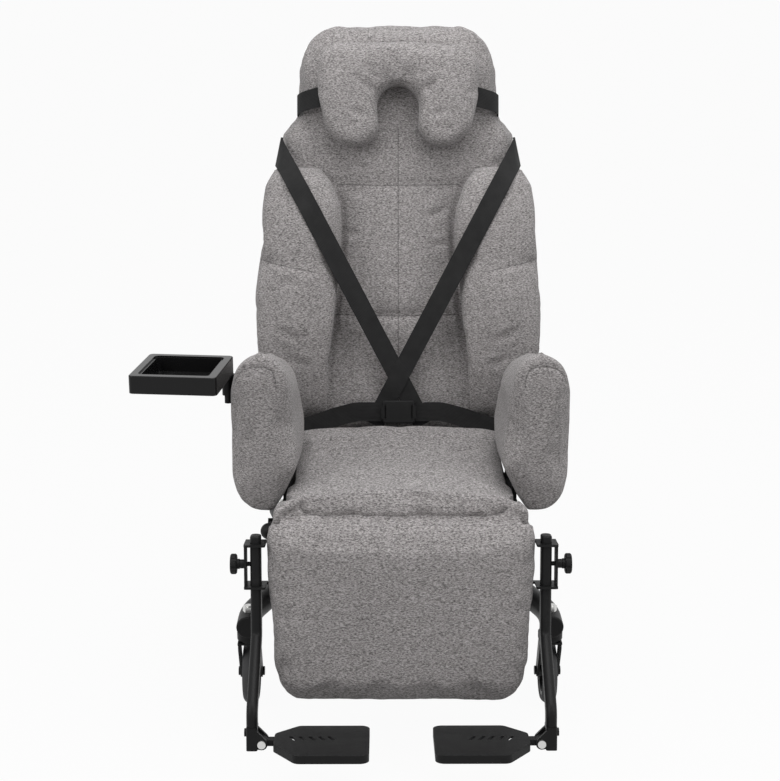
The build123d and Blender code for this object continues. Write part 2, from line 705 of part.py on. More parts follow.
def back_section(height):
    half = back_half(height)
    full = min(roundness(height - BACK_BOTTOM, BACK_END), roundness(BACK_TOP - height, BACK_END))
    pinch = sum(math.exp(-((height - seam) / SEAM_WIDTH) ** 2) for seam in (SEAM_LOW, SEAM_HIGH))
    crown = (BACK_CROWN - SEAM_DEPTH * pinch) * full
    corner = BACK_CORNER * full
    near = corner * (1 - math.sqrt(0.5))
    front = SHELL_FRONT - BACK_PAD * (0.4 + 0.6 * full)
    spread = min(1.0, max(0.0, (height - CROWN_LOW) / (CROWN_HIGH - CROWN_LOW)))
    crowned = (WING_INNER - 4) * (1 - spread) + (half - corner - 4) * spread
    right = [
        Line((half, SHELL_FRONT), (half, front + corner)),
        ThreePointArc((half, front + corner), (half - near, front + near), (half - corner, front)),
        Line((half - corner, front), (crowned, front)),
    ]
    middle = ThreePointArc((crowned, front), (0, front - crown), (-crowned, front))
    left = [
        Line((-crowned, front), (corner - half, front)),
        ThreePointArc((corner - half, front), (near - half, front + near), (-half, front + corner)),
        Line((-half, front + corner), (-half, SHELL_FRONT)),
        Line((-half, SHELL_FRONT), (half, SHELL_FRONT)),
    ]
    return Pos(0, 0, height) * make_face(Curve() + right + [middle] + left)


back_rows = levels(BACK_BOTTOM, BACK_TOP, BACK_END, 62.0, (SEAM_LOW, SEAM_HIGH))
corner_rows = [BACK_TOP - BACK_TOP_CORNER * part for part in (0.8, 0.6, 0.42)]
back_rows = sorted(back_rows + corner_rows + [EDGE_LOW, EDGE_HIGH, BAND_BOTTOM - 4, SHELL_BOTTOM - 10])
back_cushion = loft([back_section(z) for z in back_rows], ruled=True)
parts["back_cushion"] = [BACK_AT * back_cushion]

shell_inset = 12.0
shell_rows = [SEAM_LOW, SEAM_HIGH, SHOULDER_Z, EDGE_HIGH, BAND_BOTTOM + WEB_WIDTH / 2]
shell_rows += [BACK_TOP - BACK_TOP_CORNER * part for part in (0.7, 0.3, 0.05)]
shell_halves = [(SHELL_BOTTOM, 222.0), (SHELL_BOTTOM + 60, 236.0)] + [(z, back_half(z)) for z in shell_rows]
right_edge = [(half - shell_inset, z) for z, half in shell_halves]
left_edge = [(-x, z) for x, z in reversed(right_edge)]
shell_sides = [
    Line(left_edge[-1], right_edge[0]),
    Spline(*right_edge),
    Line(right_edge[-1], left_edge[0]),
    Spline(*left_edge),
]
shell_plane = Plane((0, SHELL_FRONT + SHELL_THICK, 0), x_dir=(1, 0, 0), z_dir=(0, -1, 0))
back_shell = extrude(shell_plane * make_face(Curve() + shell_sides), SHELL_THICK)
back_shell = chamfer(back_shell.faces().sort_by(Axis.Y)[-1].edges(), shell_inset * 0.4)
parts["back_shell"] = [BACK_AT * back_shell]


# Side bolsters: rounded pads that swell to mid height and have one cross seam
WING_INNER_EDGE = [
    (WING_BOTTOM, WING_INNER + 34), (WING_SEAM - 90, WING_INNER + 8), (WING_SEAM + 40, WING_INNER),
    (WING_TOP - 60, WING_INNER + 6), (WING_TOP, WING_INNER + 44),
]
WING_OUTER_EDGE = [
    (WING_BOTTOM, WING_OUTER - 84), (WING_SEAM - 90, WING_OUTER), (WING_SEAM, WING_OUTER - 7),
    (WING_TOP - 50, WING_OUTER - 16), (WING_TOP, WING_OUTER - 44),
]
WING_SWELL = [
    (WING_BOTTOM, WING_DEPTH * 0.45), (WING_SEAM - 110, WING_DEPTH), (WING_TOP - 70, WING_DEPTH),
    (WING_TOP, WING_DEPTH * 0.8),
]


def wing_section(height):
    full = min(roundness(height - WING_BOTTOM, WING_END), roundness(WING_TOP - height, WING_END))
    pinch = math.exp(-((height - WING_SEAM) / SEAM_WIDTH) ** 2)
    depth = along(WING_SWELL, height) * (0.3 + 0.7 * full) - SEAM_DEPTH * pinch
    return pad_section(height, along(WING_INNER_EDGE, height), along(WING_OUTER_EDGE, height),
                       BACK_FRONT - SOFT_GAP, depth * 0.84, depth * 0.16, depth * 0.4)


wing_rows = levels(WING_BOTTOM, WING_TOP, WING_END, 48.0, (WING_SEAM,))
wing_form = loft([wing_section(z) for z in wing_rows], ruled=True)
right_wing = BACK_AT * wing_form
parts["wing_right"] = [right_wing]
parts["wing_left"] = [mirrored(right_wing)]


# Back frame: two tubes, two cross tubes, hinge plates and the gas spring's lever arm
def back_tube(start, end, radius):
    """A hollow tube with a closed end."""
    way = (Vector(*end) - Vector(*start)).normalized() * BACK_TUBE_WALL
    return rod(start, end, radius) - rod(start, tuple(Vector(*end) - way), radius - BACK_TUBE_WALL)


low_tube = rod((-plate_inner, TUBE_BACK, 0), (plate_inner, TUBE_BACK, 0), BACK_TUBE_R)
uprights = [
    back_tube((x, TUBE_BACK, 0), (x, TUBE_BACK, BACK_TUBE_TOP), BACK_TUBE_R) - low_tube
    for x in (-BACK_TUBE_X, BACK_TUBE_X)
]
upright_cores = [
    rod((x, TUBE_BACK, 0), (x, TUBE_BACK, BACK_TUBE_TOP), BACK_TUBE_R) for x in (-BACK_TUBE_X, BACK_TUBE_X)
]
high_tube = rod((-BACK_TUBE_X, TUBE_BACK, SEAM_HIGH), (BACK_TUBE_X, TUBE_BACK, SEAM_HIGH), HIGH_TUBE_R)
high_tube = high_tube - upright_cores[0] - upright_cores[1]


def hinge_plate(x0, x1):
    plate = side_plate(x0, x1, (0, 0, HINGE_PLATE_R), (TUBE_BACK, 0, HINGE_PLATE_R))
    return plate - rod((x0, 0, 0), (x1, 0, 0), BACK_PIN_R + RUN_FIT)


hinge_plates = [
    hinge_plate(-plate_inner - HINGE_PLATE, -plate_inner),
    hinge_plate(plate_inner, plate_inner + HINGE_PLATE),
]
arm_end = (BACK_AT.inverse() * Pos(0, GAS_REAR_Y, GAS_Z)).position
arm_reach = gas_half + LEG_LUG
gas_pin = rod((-arm_reach, arm_end.Y, arm_end.Z), (arm_reach, arm_end.Y, arm_end.Z), GAS_PIN_R)
arm_discs = (arm_end.Y, arm_end.Z, GAS_ARM_R), (TUBE_BACK, 0, BACK_TUBE_R)
lever_arms = [
    side_plate(x0, x0 + LEG_LUG, *arm_discs) - low_tube - gas_pin for x0 in (-arm_reach, gas_half)
]
low_bore = BACK_TUBE_R - BACK_TUBE_WALL
low_tube = low_tube - rod((-plate_inner, TUBE_BACK, 0), (plate_inner, TUBE_BACK, 0), low_bore)
frame_solids = [low_tube, high_tube, gas_pin] + uprights + hinge_plates + lever_arms
parts["back_frame"] = [BACK_AT * solid for solid in frame_solids]


def push_bar():
    bar_y = TUBE_BACK + PUSH_REACH
    low = PUSH_HEIGHT - PUSH_DROP
    corners = [(-BACK_TUBE_X, TUBE_BACK, low), (-BACK_TUBE_X, bar_y, PUSH_HEIGHT),
               (BACK_TUBE_X, bar_y, PUSH_HEIGHT), (BACK_TUBE_X, TUBE_BACK, low)]
    route = FilletPolyline(*corners, radius=4 * PUSH_TUBE_R)
    bar = swept(route, Circle(PUSH_TUBE_R)) - upright_cores[0] - upright_cores[1]
    return bar.solids().sort_by(SortBy.VOLUME)[-1]


lever_x = GRIP_LENGTH / 2 + 12
lever_z = PUSH_HEIGHT - LEVER_DROP
push_y = TUBE_BACK + PUSH_REACH


def lever_fork():
    ears = [
        block(lever_x - 7, lever_x + 7, push_y + y0, push_y + y0 + 3, lever_z - 7, PUSH_HEIGHT)
        for y0 in (-LEVER_WIDTH / 2 - SOFT_GAP - 3, LEVER_WIDTH / 2 + SOFT_GAP)
    ]
    reach = LEVER_WIDTH / 2 + SOFT_GAP + 3
    pin = rod((lever_x, push_y - reach, lever_z), (lever_x, push_y + reach, lever_z), PIVOT_R - 1)
    return Part() + ears + pin


parts["push_bar"] = [BACK_AT * (push_bar() + lever_fork())]
grip_way = (-GRIP_LENGTH / 2, push_y, PUSH_HEIGHT), (GRIP_LENGTH / 2, push_y, PUSH_HEIGHT)
grip = rod(*grip_way, PUSH_TUBE_R + GRIP_WALL) - rod(*grip_way, PUSH_TUBE_R)
grip_rims = grip.edges().filter_by(GeomType.CIRCLE).group_by(SortBy.LENGTH)[-1]
parts["push_grip"] = [BACK_AT * chamfer(grip_rims, GRIP_WALL / 2)]


def release_lever():
    outline = hull(Pos(lever_x, lever_z) * Circle(6),
                   Pos(lever_x - LEVER_LENGTH, lever_z - 4) * Circle(LEVER_THICK / 2))
    plane = Plane((0, push_y + LEVER_WIDTH / 2, 0), x_dir=(1, 0, 0), z_dir=(0, -1, 0))
    lever = extrude(plane * outline, LEVER_WIDTH)
    bore = (lever_x, push_y - LEVER_WIDTH, lever_z), (lever_x, push_y + LEVER_WIDTH, lever_z)
    return lever - rod(*bore, PIVOT_R - 1 + RUN_FIT)


parts["release_lever"] = [BACK_AT * release_lever()]


# Gas spring under the seat, along Y
gas_length = GAS_REAR_Y - GAS_FRONT_Y
stroke = 2 * LEVER_ARM * math.sin(math.radians(ARM_ANGLE))
cylinder_end = GAS_FRONT_Y + gas_length / 2 + 10
cylinder_start = GAS_FRONT_Y + GAS_EYE_R + 1
bore_start = cylinder_start + 6
guide = 10.0


def eye(y, hole):
    ends = (-GAS_EYE_WIDTH / 2, y, GAS_Z), (GAS_EYE_WIDTH / 2, y, GAS_Z)
    return rod(*ends, GAS_EYE_R) - rod(*ends, hole)


cylinder = rod((0, cylinder_start, GAS_Z), (0, cylinder_end, GAS_Z), GAS_CYLINDER_R)
cylinder += eye(GAS_FRONT_Y, AXLE_R)
cylinder += rod((0, GAS_FRONT_Y + AXLE_R + 2, GAS_Z), (0, cylinder_start, GAS_Z), GAS_EYE_WIDTH / 2)
cylinder -= rod((0, bore_start, GAS_Z), (0, cylinder_end - guide, GAS_Z), GAS_CYLINDER_R - GAS_WALL)
cylinder -= rod((0, cylinder_end - guide, GAS_Z), (0, cylinder_end, GAS_Z), GAS_ROD_R + RUN_FIT)
cylinder -= rod((-20, GAS_FRONT_Y, GAS_Z), (20, GAS_FRONT_Y, GAS_Z), AXLE_R + RUN_FIT)
parts["gas_cylinder"] = [cylinder]
piston_y = bore_start + stroke + 12
slack_hole = GAS_PIN_R + GAS_EYE_SLACK
gas_rod = rod((0, piston_y, GAS_Z), (0, GAS_REAR_Y - slack_hole - 1, GAS_Z), GAS_ROD_R)
gas_rod += rod((0, piston_y, GAS_Z), (0, piston_y + 8, GAS_Z), GAS_CYLINDER_R - GAS_WALL - SOFT_GAP)
gas_rod += eye(GAS_REAR_Y, slack_hole)
parts["gas_rod"] = [gas_rod - rod((-20, GAS_REAR_Y, GAS_Z), (20, GAS_REAR_Y, GAS_Z), slack_hole)]


# Head cushion: a horseshoe pillow, and the band that holds it round the back
def head_section(y, inset):
    half = HEAD_HALF - inset
    notch = HEAD_NOTCH_HALF + inset
    top = HEAD_TOP - inset
    low = HEAD_BOTTOM + inset
    spring = HEAD_NOTCH_TOP + inset - HEAD_NOTCH_HALF * 0.8
    corner = HEAD_CORNER
    near = corner * (1 - math.sqrt(0.5))
    lobe = HEAD_LOBE
    middle = (half + notch) / 2
    sides = [
        ThreePointArc((-notch, spring), (0, HEAD_NOTCH_TOP + inset), (notch, spring)),
        Line((notch, spring), (notch, low + lobe)),
        ThreePointArc((notch, low + lobe), (middle, low), (half, low + lobe)),
        Line((half, low + lobe), (half, top - corner)),
        ThreePointArc((half, top - corner), (half - near, top - near), (half - corner, top)),
        ThreePointArc((half - corner, top), (0, top + 5), (corner - half, top)),
        ThreePointArc((corner - half, top), (near - half, top - near), (-half, top - corner)),
        Line((-half, top - corner), (-half, low + lobe)),
        ThreePointArc((-half, low + lobe), (-middle, low), (-notch, low + lobe)),
        Line((-notch, low + lobe), (-notch, spring)),
    ]
    return Plane((0, y, 0), x_dir=(1, 0, 0), z_dir=(0, -1, 0)) * make_face(Curve() + sides)


head_back = BACK_FRONT - BACK_CROWN - SOFT_GAP
HEAD_PILLOW = [(0.0, 15.0), (0.1, 7.0), (0.25, 2.0), (0.5, 0.0), (0.72, 2.0), (0.9, 8.0), (1.0, 19.0)]
head_rows = [head_section(head_back - HEAD_THICK * part, inset) for part, inset in HEAD_PILLOW]
head_form = loft(head_rows, ruled=True)
parts["headrest_cushion"] = [BACK_AT * head_form]
band_x = BAND_HALF + 2 * SOFT_GAP + WEB_THICK / 2
band_back = SHELL_FRONT + SHELL_THICK + SOFT_GAP + WEB_THICK / 2
band_front = head_back - HEAD_THICK * 0.4
band_side = BACK_FRONT - 2


def head_band():
    right = [(HEAD_HALF + WEB_THICK, band_front), (band_x, band_side), (band_x, band_back)]
    route = right + [(-x, y) for x, y in reversed(right)]
    return ribbon(route, 6.0, BAND_BOTTOM, BAND_BOTTOM + WEB_WIDTH)


parts["headrest_band"] = [BACK_AT * head_band()]


# Harness: two crossing shoulder straps, lap belt in halves, buckle with side latches
strap_way = Vector(-SHOULDER_X, 0, CROSSING_Z - SHOULDER_Z)
strap_run = strap_way.length
strap_way = strap_way.normalized()
edge_out = Vector(math.cos(edge_fall), 0, math.sin(edge_fall))
edge_up = Vector(-math.sin(edge_fall), 0, math.cos(edge_fall))
wing_face = BACK_FRONT - WING_DEPTH
strap_front = BACK_FRONT - WEB_THICK
buckle_top = BELT_Z + (WEB_WIDTH + BUCKLE_HEIGHT) / 2


def strap_flap():
    """The strap's end, folded round the side edge of the back and sewn there."""
    cross = strap_way.dot(edge_out)
    half = WEB_WIDTH / 2 / abs(cross)
    rise = STRAP_FLAP * strap_way.dot(edge_up) / cross
    front = strap_front - WEB_THICK / 2
    outline = Polyline((front, -half), (front, half), (front + STRAP_FLAP, half + rise),
                       (front + STRAP_FLAP, rise - half), close=True)
    at = Vector(SHOULDER_X, 0, SHOULDER_Z) + edge_out * SOFT_GAP
    return extrude(Plane(at, x_dir=(0, 1, 0), z_dir=edge_out) * make_face(outline), WEB_THICK)


def strap_leg(front):
    """The short end below the crossing, spread to the belt beside the buckle."""
    spread = CROSSING_Z - BELT_Z
    leg = trace(Line((0, CROSSING_Z), (-spread, BELT_Z)), line_width=WEB_WIDTH)
    leg = extrude(Plane((0, front + WEB_THICK, 0), x_dir=(1, 0, 0), z_dir=(0, -1, 0)) * leg, WEB_THICK)
    room = BUCKLE_WIDTH / 2 + LATCH_PROUD + LATCH_TRAVEL
    leg -= block(-room, room, front - WEB_THICK, front + 2 * WEB_THICK, 0, buckle_top + SHEET)
    return leg - block(-2 * spread, 0, front - WEB_THICK, front + 2 * WEB_THICK, 0, BELT_Z + SHEET)


def shoulder_strap(layer):
    lie = BELT_FRONT - 1.5 - layer
    route = [
        (-1.5 * WEB_WIDTH, strap_front), (-2.0, strap_front), (46.0, wing_face),
        (strap_run * 0.44, wing_face - 3.6), (strap_run * 0.95, lie), (strap_run + WEB_WIDTH / 4, lie),
    ]
    flat = ribbon(route, 8.0, -WEB_WIDTH / 2, WEB_WIDTH / 2)
    across = strap_way.cross(Vector(0, 1, 0))
    strap = Plane((SHOULDER_X, 0, SHOULDER_Z), x_dir=strap_way, z_dir=across) * flat
    beyond = Vector(SHOULDER_X, 0, SHOULDER_Z) + edge_out * (SOFT_GAP + WEB_THICK)
    outside = Plane(beyond, x_dir=(0, 1, 0), z_dir=edge_out) * Rectangle(4 * WEB_WIDTH, 6 * WEB_WIDTH)
    strap -= extrude(outside, SHOULDER_X)
    return strap + strap_flap() + strap_leg(lie - WEB_THICK / 2)


parts["shoulder_strap_left"] = [BACK_AT * mirrored(shoulder_strap(0.0))]
parts["shoulder_strap_right"] = [BACK_AT * shoulder_strap(1.5 * WEB_THICK)]


belt_plane = BELT_FRONT + BUCKLE_DEPTH / 4
latch_front = BELT_FRONT - BUCKLE_DEPTH / 2


def lap_belt(side):
    start = BUCKLE_WIDTH / 2
    rear = SHELL_FRONT + SHELL_THICK + WEB_THICK / 2
    route = [(start, belt_plane), (BELT_SIDE_X, belt_plane - 1), (BELT_SIDE_X + 8, rear),
             (BELT_SIDE_X - 1.3 * WEB_WIDTH, rear)]
    belt = ribbon(route, 14.0, BELT_Z, BELT_Z + WEB_WIDTH)
    return belt if side > 0 else mirrored(belt)


parts["lap_belt_left"] = [BACK_AT * lap_belt(-1)]
parts["lap_belt_right"] = [BACK_AT * lap_belt(1)]

buckle_mid = BELT_Z + WEB_WIDTH / 2


def buckle_body():
    half = BUCKLE_WIDTH / 2
    shell = block(-half, half, BELT_FRONT - BUCKLE_DEPTH / 2, BELT_FRONT + BUCKLE_DEPTH / 2,
                  buckle_mid - BUCKLE_HEIGHT / 2, buckle_mid + BUCKLE_HEIGHT / 2)
    shell = fillet(shell.edges().filter_by(Axis.Y), 7)
    shell = fillet(shell.faces().sort_by(Axis.Y)[0].edges(), 3)
    pocket = LATCH_WIDTH + LATCH_TRAVEL - LATCH_PROUD + 0.5
    for side in (-1, 1):
        shell -= block(side * (half - pocket), side * (half + 1),
                       latch_front, latch_front + LATCH_DEPTH + SLIDE_FIT,
                       buckle_mid - LATCH_HEIGHT / 2 - SLIDE_FIT, buckle_mid + LATCH_HEIGHT / 2 + SLIDE_FIT)
    return shell


def buckle_latch(side):
    outer = BUCKLE_WIDTH / 2 + LATCH_PROUD
    latch = block(side * (outer - LATCH_WIDTH), side * outer, latch_front, latch_front + LATCH_DEPTH,
                  buckle_mid - LATCH_HEIGHT / 2, buckle_mid + LATCH_HEIGHT / 2)
    return fillet(latch.edges().filter_by(Axis.Y), 2)


parts["buckle_body"] = [BACK_AT * buckle_body()]
parts["buckle_latch_left"] = [BACK_AT * buckle_latch(-1)]
parts["buckle_latch_right"] = [BACK_AT * buckle_latch(1)]


# Legrest: board with hinge straps, and the pad on it
def legrest_board():
    rear = LEG_BACK + LEG_BOARD
    low = LEG_BOTTOM + LEG_BOARD_INSET
    outline = RectangleRounded(2 * LEG_BOARD_HALF, LEG_BOARD_TOP - low, LEG_BOARD_CORNER)
    plane = Plane((0, rear, 0), x_dir=(1, 0, 0), z_dir=(0, -1, 0))
    return extrude(plane * (Pos(0, (LEG_BOARD_TOP + low) / 2) * outline), LEG_BOARD)


def hinge_strap(side):
    x0 = side * LEG_HINGE_X - LEG_KNUCKLE_WIDTH / 2
    x1 = side * LEG_HINGE_X + LEG_KNUCKLE_WIDTH / 2
    rear = LEG_BACK + LEG_BOARD
    strap = block(x0, x1, rear, rear + SHEET, LEG_BOARD_TOP - LEG_STRAP_LENGTH, 0)
    strap += rod((x0, 0, 0), (x1, 0, 0), LEG_KNUCKLE_R)
    return strap - rod((x0, 0, 0), (x1, 0, 0), LEG_PIN_R + RUN_FIT)


parts["legrest_board"] = [LEG_AT * legrest_board()]
parts["legrest_hinge_straps"] = [LEG_AT * hinge_strap(side) for side in (-1, 1)]


LEG_OUTLINE = [
    (LEG_BOTTOM, LEG_HALF_LOW - 56), (LEG_BOTTOM + 5, LEG_HALF_LOW - 40),
    (LEG_BOTTOM + 12, LEG_HALF_LOW - 28), (LEG_BOTTOM + 22, LEG_HALF_LOW - 19),
    (LEG_BOTTOM + 40, LEG_HALF_LOW - 9), (LEG_BOTTOM + 75, LEG_HALF_LOW),
    (LEG_BOTTOM + 150, LEG_HALF_LOW + 1), (LEG_TOP - 100, LEG_HALF_TOP), (LEG_TOP - 20, LEG_HALF_TOP),
    (LEG_TOP, LEG_HALF_TOP - 8),
]


def leg_section(height):
    full = min(roundness(height - LEG_BOTTOM, LEG_END), roundness(LEG_TOP - height, LEG_END))
    edge = LEG_PAD * (0.25 + 0.75 * full)
    return pad_section(height, -along(LEG_OUTLINE, height), along(LEG_OUTLINE, height), LEG_BACK,
                       edge, LEG_CROWN * full, edge * 0.62)


leg_pad = loft([leg_section(z) for z in levels(LEG_BOTTOM, LEG_TOP, LEG_END, 38.0)], ruled=True)
parts["legrest_pad"] = [LEG_AT * leg_pad]


# Footrests: a flat-oval tube bent forward, in a C-bracket with a clamp knob
def oval(width, depth):
    return RectangleRounded(width, depth, width / 2 - 0.5)


def foot_route():
    return FilletPolyline(
        (FOOT_X, FOOT_Y, FOOT_TOP), (FOOT_X, FOOT_Y, FOOT_BEND_TOP), (FOOT_X, FOOT_FORWARD, FOOT_BEND_BOTTOM),
        (FOOT_X, FOOT_FORWARD, FOOT_END), radius=FOOT_BEND_R * 0.55)


def foot_tube():
    route = foot_route()
    start = Plane(route @ 0, x_dir=(1, 0, 0), z_dir=route % 0)
    outer = sweep(start * oval(FOOT_WIDTH, FOOT_DEPTH), path=route)
    inner = sweep(start * oval(FOOT_WIDTH - 2 * FOOT_WALL, FOOT_DEPTH - 2 * FOOT_WALL), path=route)
    return outer - inner


def foot_cap():
    top = extrude(Pos(FOOT_X, FOOT_Y, FOOT_TOP) * oval(FOOT_WIDTH, FOOT_DEPTH), CAP_HEIGHT)
    top = fillet(top.faces().sort_by(Axis.Z)[-1].edges(), CAP_HEIGHT * 0.5)
    bore = oval(FOOT_WIDTH - 2 * FOOT_WALL, FOOT_DEPTH - 2 * FOOT_WALL)
    return top + extrude(Pos(FOOT_X, FOOT_Y, FOOT_TOP) * bore, -3 * CAP_HEIGHT)


knob_z = (BRACKET_UPPER + BRACKET_LOWER) / 2
foot_side = FOOT_X + FOOT_WIDTH / 2


def foot_bracket():
    rear = LEG_BACK + LEG_BOARD
    passage = oval(FOOT_WIDTH + 2 * SLIDE_FIT, FOOT_DEPTH + 2 * SLIDE_FIT)
    hole = extrude(Pos(FOOT_X, FOOT_Y, 2 * BRACKET_LOWER) * passage, -2 * BRACKET_LOWER)
    root = LEG_BOARD_HALF - 8 * SHEET
    bracket = block(root, LEG_BOARD_HALF, rear, rear + SHEET, BRACKET_LOWER - BRACKET_RIM, BRACKET_UPPER)
    front = FOOT_Y - FOOT_DEPTH / 2 - BRACKET_RIM
    for z in (BRACKET_UPPER, BRACKET_LOWER):
        bracket += block(root, BRACKET_OUT, rear, rear + 3 * SHEET, z - SHEET, z)
        leg = block(LEG_HALF_TOP + 1.5, BRACKET_OUT, front, rear + 3 * SHEET, z - SHEET, z)
        bracket += fillet(leg.edges().filter_by(Axis.Z).sort_by(Axis.Y)[:2], BRACKET_RIM - 2)
    bracket += block(BRACKET_OUT - SHEET, BRACKET_OUT, FOOT_Y - 3 * SHEET, FOOT_Y + 3 * SHEET,
                     BRACKET_LOWER - SHEET, BRACKET_UPPER)
    nut_end = (BRACKET_OUT + WELD_NUT, FOOT_Y, knob_z)
    bracket += rod((BRACKET_OUT, FOOT_Y, knob_z), nut_end, WELD_NUT)
    bracket -= rod((BRACKET_OUT - SHEET, FOOT_Y, knob_z), nut_end, KNOB_SCREW_R + RUN_FIT)
    return bracket - hole


def clamp_knob():
    inner = BRACKET_OUT + WELD_NUT + 0.5
    hub = rod((inner, 0, 0), (inner + 5, 0, 0), KNOB_R / 2)
    head = rod((inner + 5, 0, 0), (inner + 5 + KNOB_WIDTH, 0, 0), KNOB_R)
    head = chamfer(head.edges(), KNOB_WIDTH / 6)
    for i in range(KNOB_LOBES):
        turn = 360 / KNOB_LOBES * i
        flute = rod((inner, 0, KNOB_R + 2.5), (inner + 6 + KNOB_WIDTH, 0, KNOB_R + 2.5), 4.5)
        head -= Rot(turn, 0, 0) * flute
    screw = rod((foot_side + 0.3, 0, 0), (inner + 10, 0, 0), KNOB_SCREW_R)
    at = Pos(0, FOOT_Y, knob_z)
    return [at * (hub + head - screw), at * screw]


# Footplates: hinge clevis under the tube, and the ribbed plate on its pivot bolt
clevis_top = FOOT_END
clevis_bottom = PIVOT_Z - PIVOT_KNUCKLE_R - 3
clevis_half = CLEVIS_GAP / 2 + CLEVIS_LUG


def foot_clevis():
    inner = FOOT_X - FOOT_WIDTH / 2
    body = block(inner, foot_side, PLATE_MID - clevis_half, PLATE_MID + clevis_half,
                 clevis_bottom, clevis_top)
    body = fillet(body.edges().filter_by(Axis.Z), 4)
    slack = 2 * FOOT_WALL + 2 * SLIDE_FIT
    tenon = oval(FOOT_WIDTH - slack, FOOT_DEPTH - slack)
    clevis = body + extrude(Pos(FOOT_X, FOOT_FORWARD, clevis_top) * tenon, CLEVIS_GAP / 2)
    for y0 in (PLATE_MID - clevis_half, PLATE_MID + CLEVIS_GAP / 2):
        root = Rectangle(SHEET, clevis_top - clevis_bottom - 2 * SHEET)
        lug = hull(Pos(PIVOT_X, PIVOT_Z) * Circle(PIVOT_KNUCKLE_R + 1),
                   Pos(inner + SHEET, (clevis_top + clevis_bottom) / 2) * root)
        plane = Plane((0, y0 + CLEVIS_LUG, 0), x_dir=(1, 0, 0), z_dir=(0, -1, 0))
        clevis += extrude(plane * lug, CLEVIS_LUG)
    bolt_ends = (PIVOT_X, PLATE_MID - clevis_half, PIVOT_Z), (PIVOT_X, PLATE_MID + clevis_half, PIVOT_Z)
    clevis -= rod(*bolt_ends, PIVOT_R)
    gap_ends = (PIVOT_X, PLATE_MID - CLEVIS_GAP / 2, PIVOT_Z), (PIVOT_X, PLATE_MID + CLEVIS_GAP / 2, PIVOT_Z)
    clevis -= rod(*gap_ends, PIVOT_KNUCKLE_R + 1)
    screw_z = clevis_top - 12
    return clevis - rod((FOOT_X, PLATE_MID, screw_z), (foot_side, PLATE_MID, screw_z), PIVOT_R)


def foot_bolts():
    front = PLATE_MID - clevis_half
    rear = PLATE_MID + clevis_half
    pivot = rod((PIVOT_X, front, PIVOT_Z), (PIVOT_X, rear, PIVOT_Z), PIVOT_R)
    pivot += rod((PIVOT_X, front - 4, PIVOT_Z), (PIVOT_X, front, PIVOT_Z), PIVOT_R + 3)
    pivot += rod((PIVOT_X, rear, PIVOT_Z), (PIVOT_X, rear + 4, PIVOT_Z), PIVOT_R + 3)
    screw_z = clevis_top - 12
    side = rod((FOOT_X, PLATE_MID, screw_z), (foot_side, PLATE_MID, screw_z), PIVOT_R)
    side += rod((foot_side, PLATE_MID, screw_z), (foot_side + 4, PLATE_MID, screw_z), PIVOT_R + 3)
    return [pivot, side]


def footplate():
    front = PLATE_BACK - PLATE_DEPTH
    bottom = PLATE_TOP - PLATE_THICK
    shoulder = PLATE_OUTER - PLATE_BEVEL
    outline = Polyline(
        (PLATE_INNER, PLATE_BACK), (shoulder, PLATE_BACK), (PLATE_OUTER, PLATE_MID + PLATE_NOSE),
        (PLATE_OUTER, PLATE_MID - PLATE_NOSE), (shoulder, front), (PLATE_INNER, front), close=True)
    face = fillet(make_face(outline).vertices(), 16)
    plate = extrude(Pos(0, 0, bottom) * face, PLATE_THICK)
    hollow = extrude(Pos(0, 0, bottom) * offset(face, -PLATE_RIM), PLATE_THICK - PLATE_SKIN)
    plate -= hollow
    slot = extrude(SlotOverall(SLOT_LENGTH, SLOT_WIDTH, rotation=SLOT_LEAN), 2 * PLATE_THICK, both=True)
    for i in range(PLATE_SLOTS):
        x = PLATE_INNER + (PLATE_OUTER - PLATE_INNER) * (0.4 + 0.1 * i)
        plate -= Pos(x, PLATE_MID, PLATE_TOP) * slot
    for y in (PLATE_MID - SLOT_LENGTH, PLATE_MID + SLOT_LENGTH):
        plate += block(PLATE_INNER + PLATE_RIM, shoulder, y - PLATE_SKIN / 2, y + PLATE_SKIN / 2,
                       bottom, PLATE_TOP - PLATE_SKIN)
    half_knuckle = CLEVIS_GAP / 2 - SOFT_GAP
    neck = block(PIVOT_X - 2, PLATE_OUTER - PLATE_RIM, PLATE_MID - half_knuckle, PLATE_MID + half_knuckle,
                 PIVOT_Z - 5, PLATE_TOP)
    knuckle_ends = (PIVOT_X, PLATE_MID - half_knuckle, PIVOT_Z), (PIVOT_X, PLATE_MID + half_knuckle, PIVOT_Z)
    plate += neck + rod(*knuckle_ends, PIVOT_KNUCKLE_R)
    return plate - rod(*knuckle_ends, PIVOT_R + RUN_FIT)


foot_pieces = {
    "footrest_bracket": [foot_bracket()],
    "clamp_knob": clamp_knob(),
    "footrest_tube": [foot_tube(), foot_cap()],
    "footplate_clevis": [foot_clevis()] + foot_bolts(),
    "footplate": [footplate()],
}
for name, solids in foot_pieces.items():
    parts[f"{name}_right"] = [LEG_AT * solid for solid in solids]
    parts[f"{name}_left"] = [mirrored(LEG_AT * solid) for solid in solids]


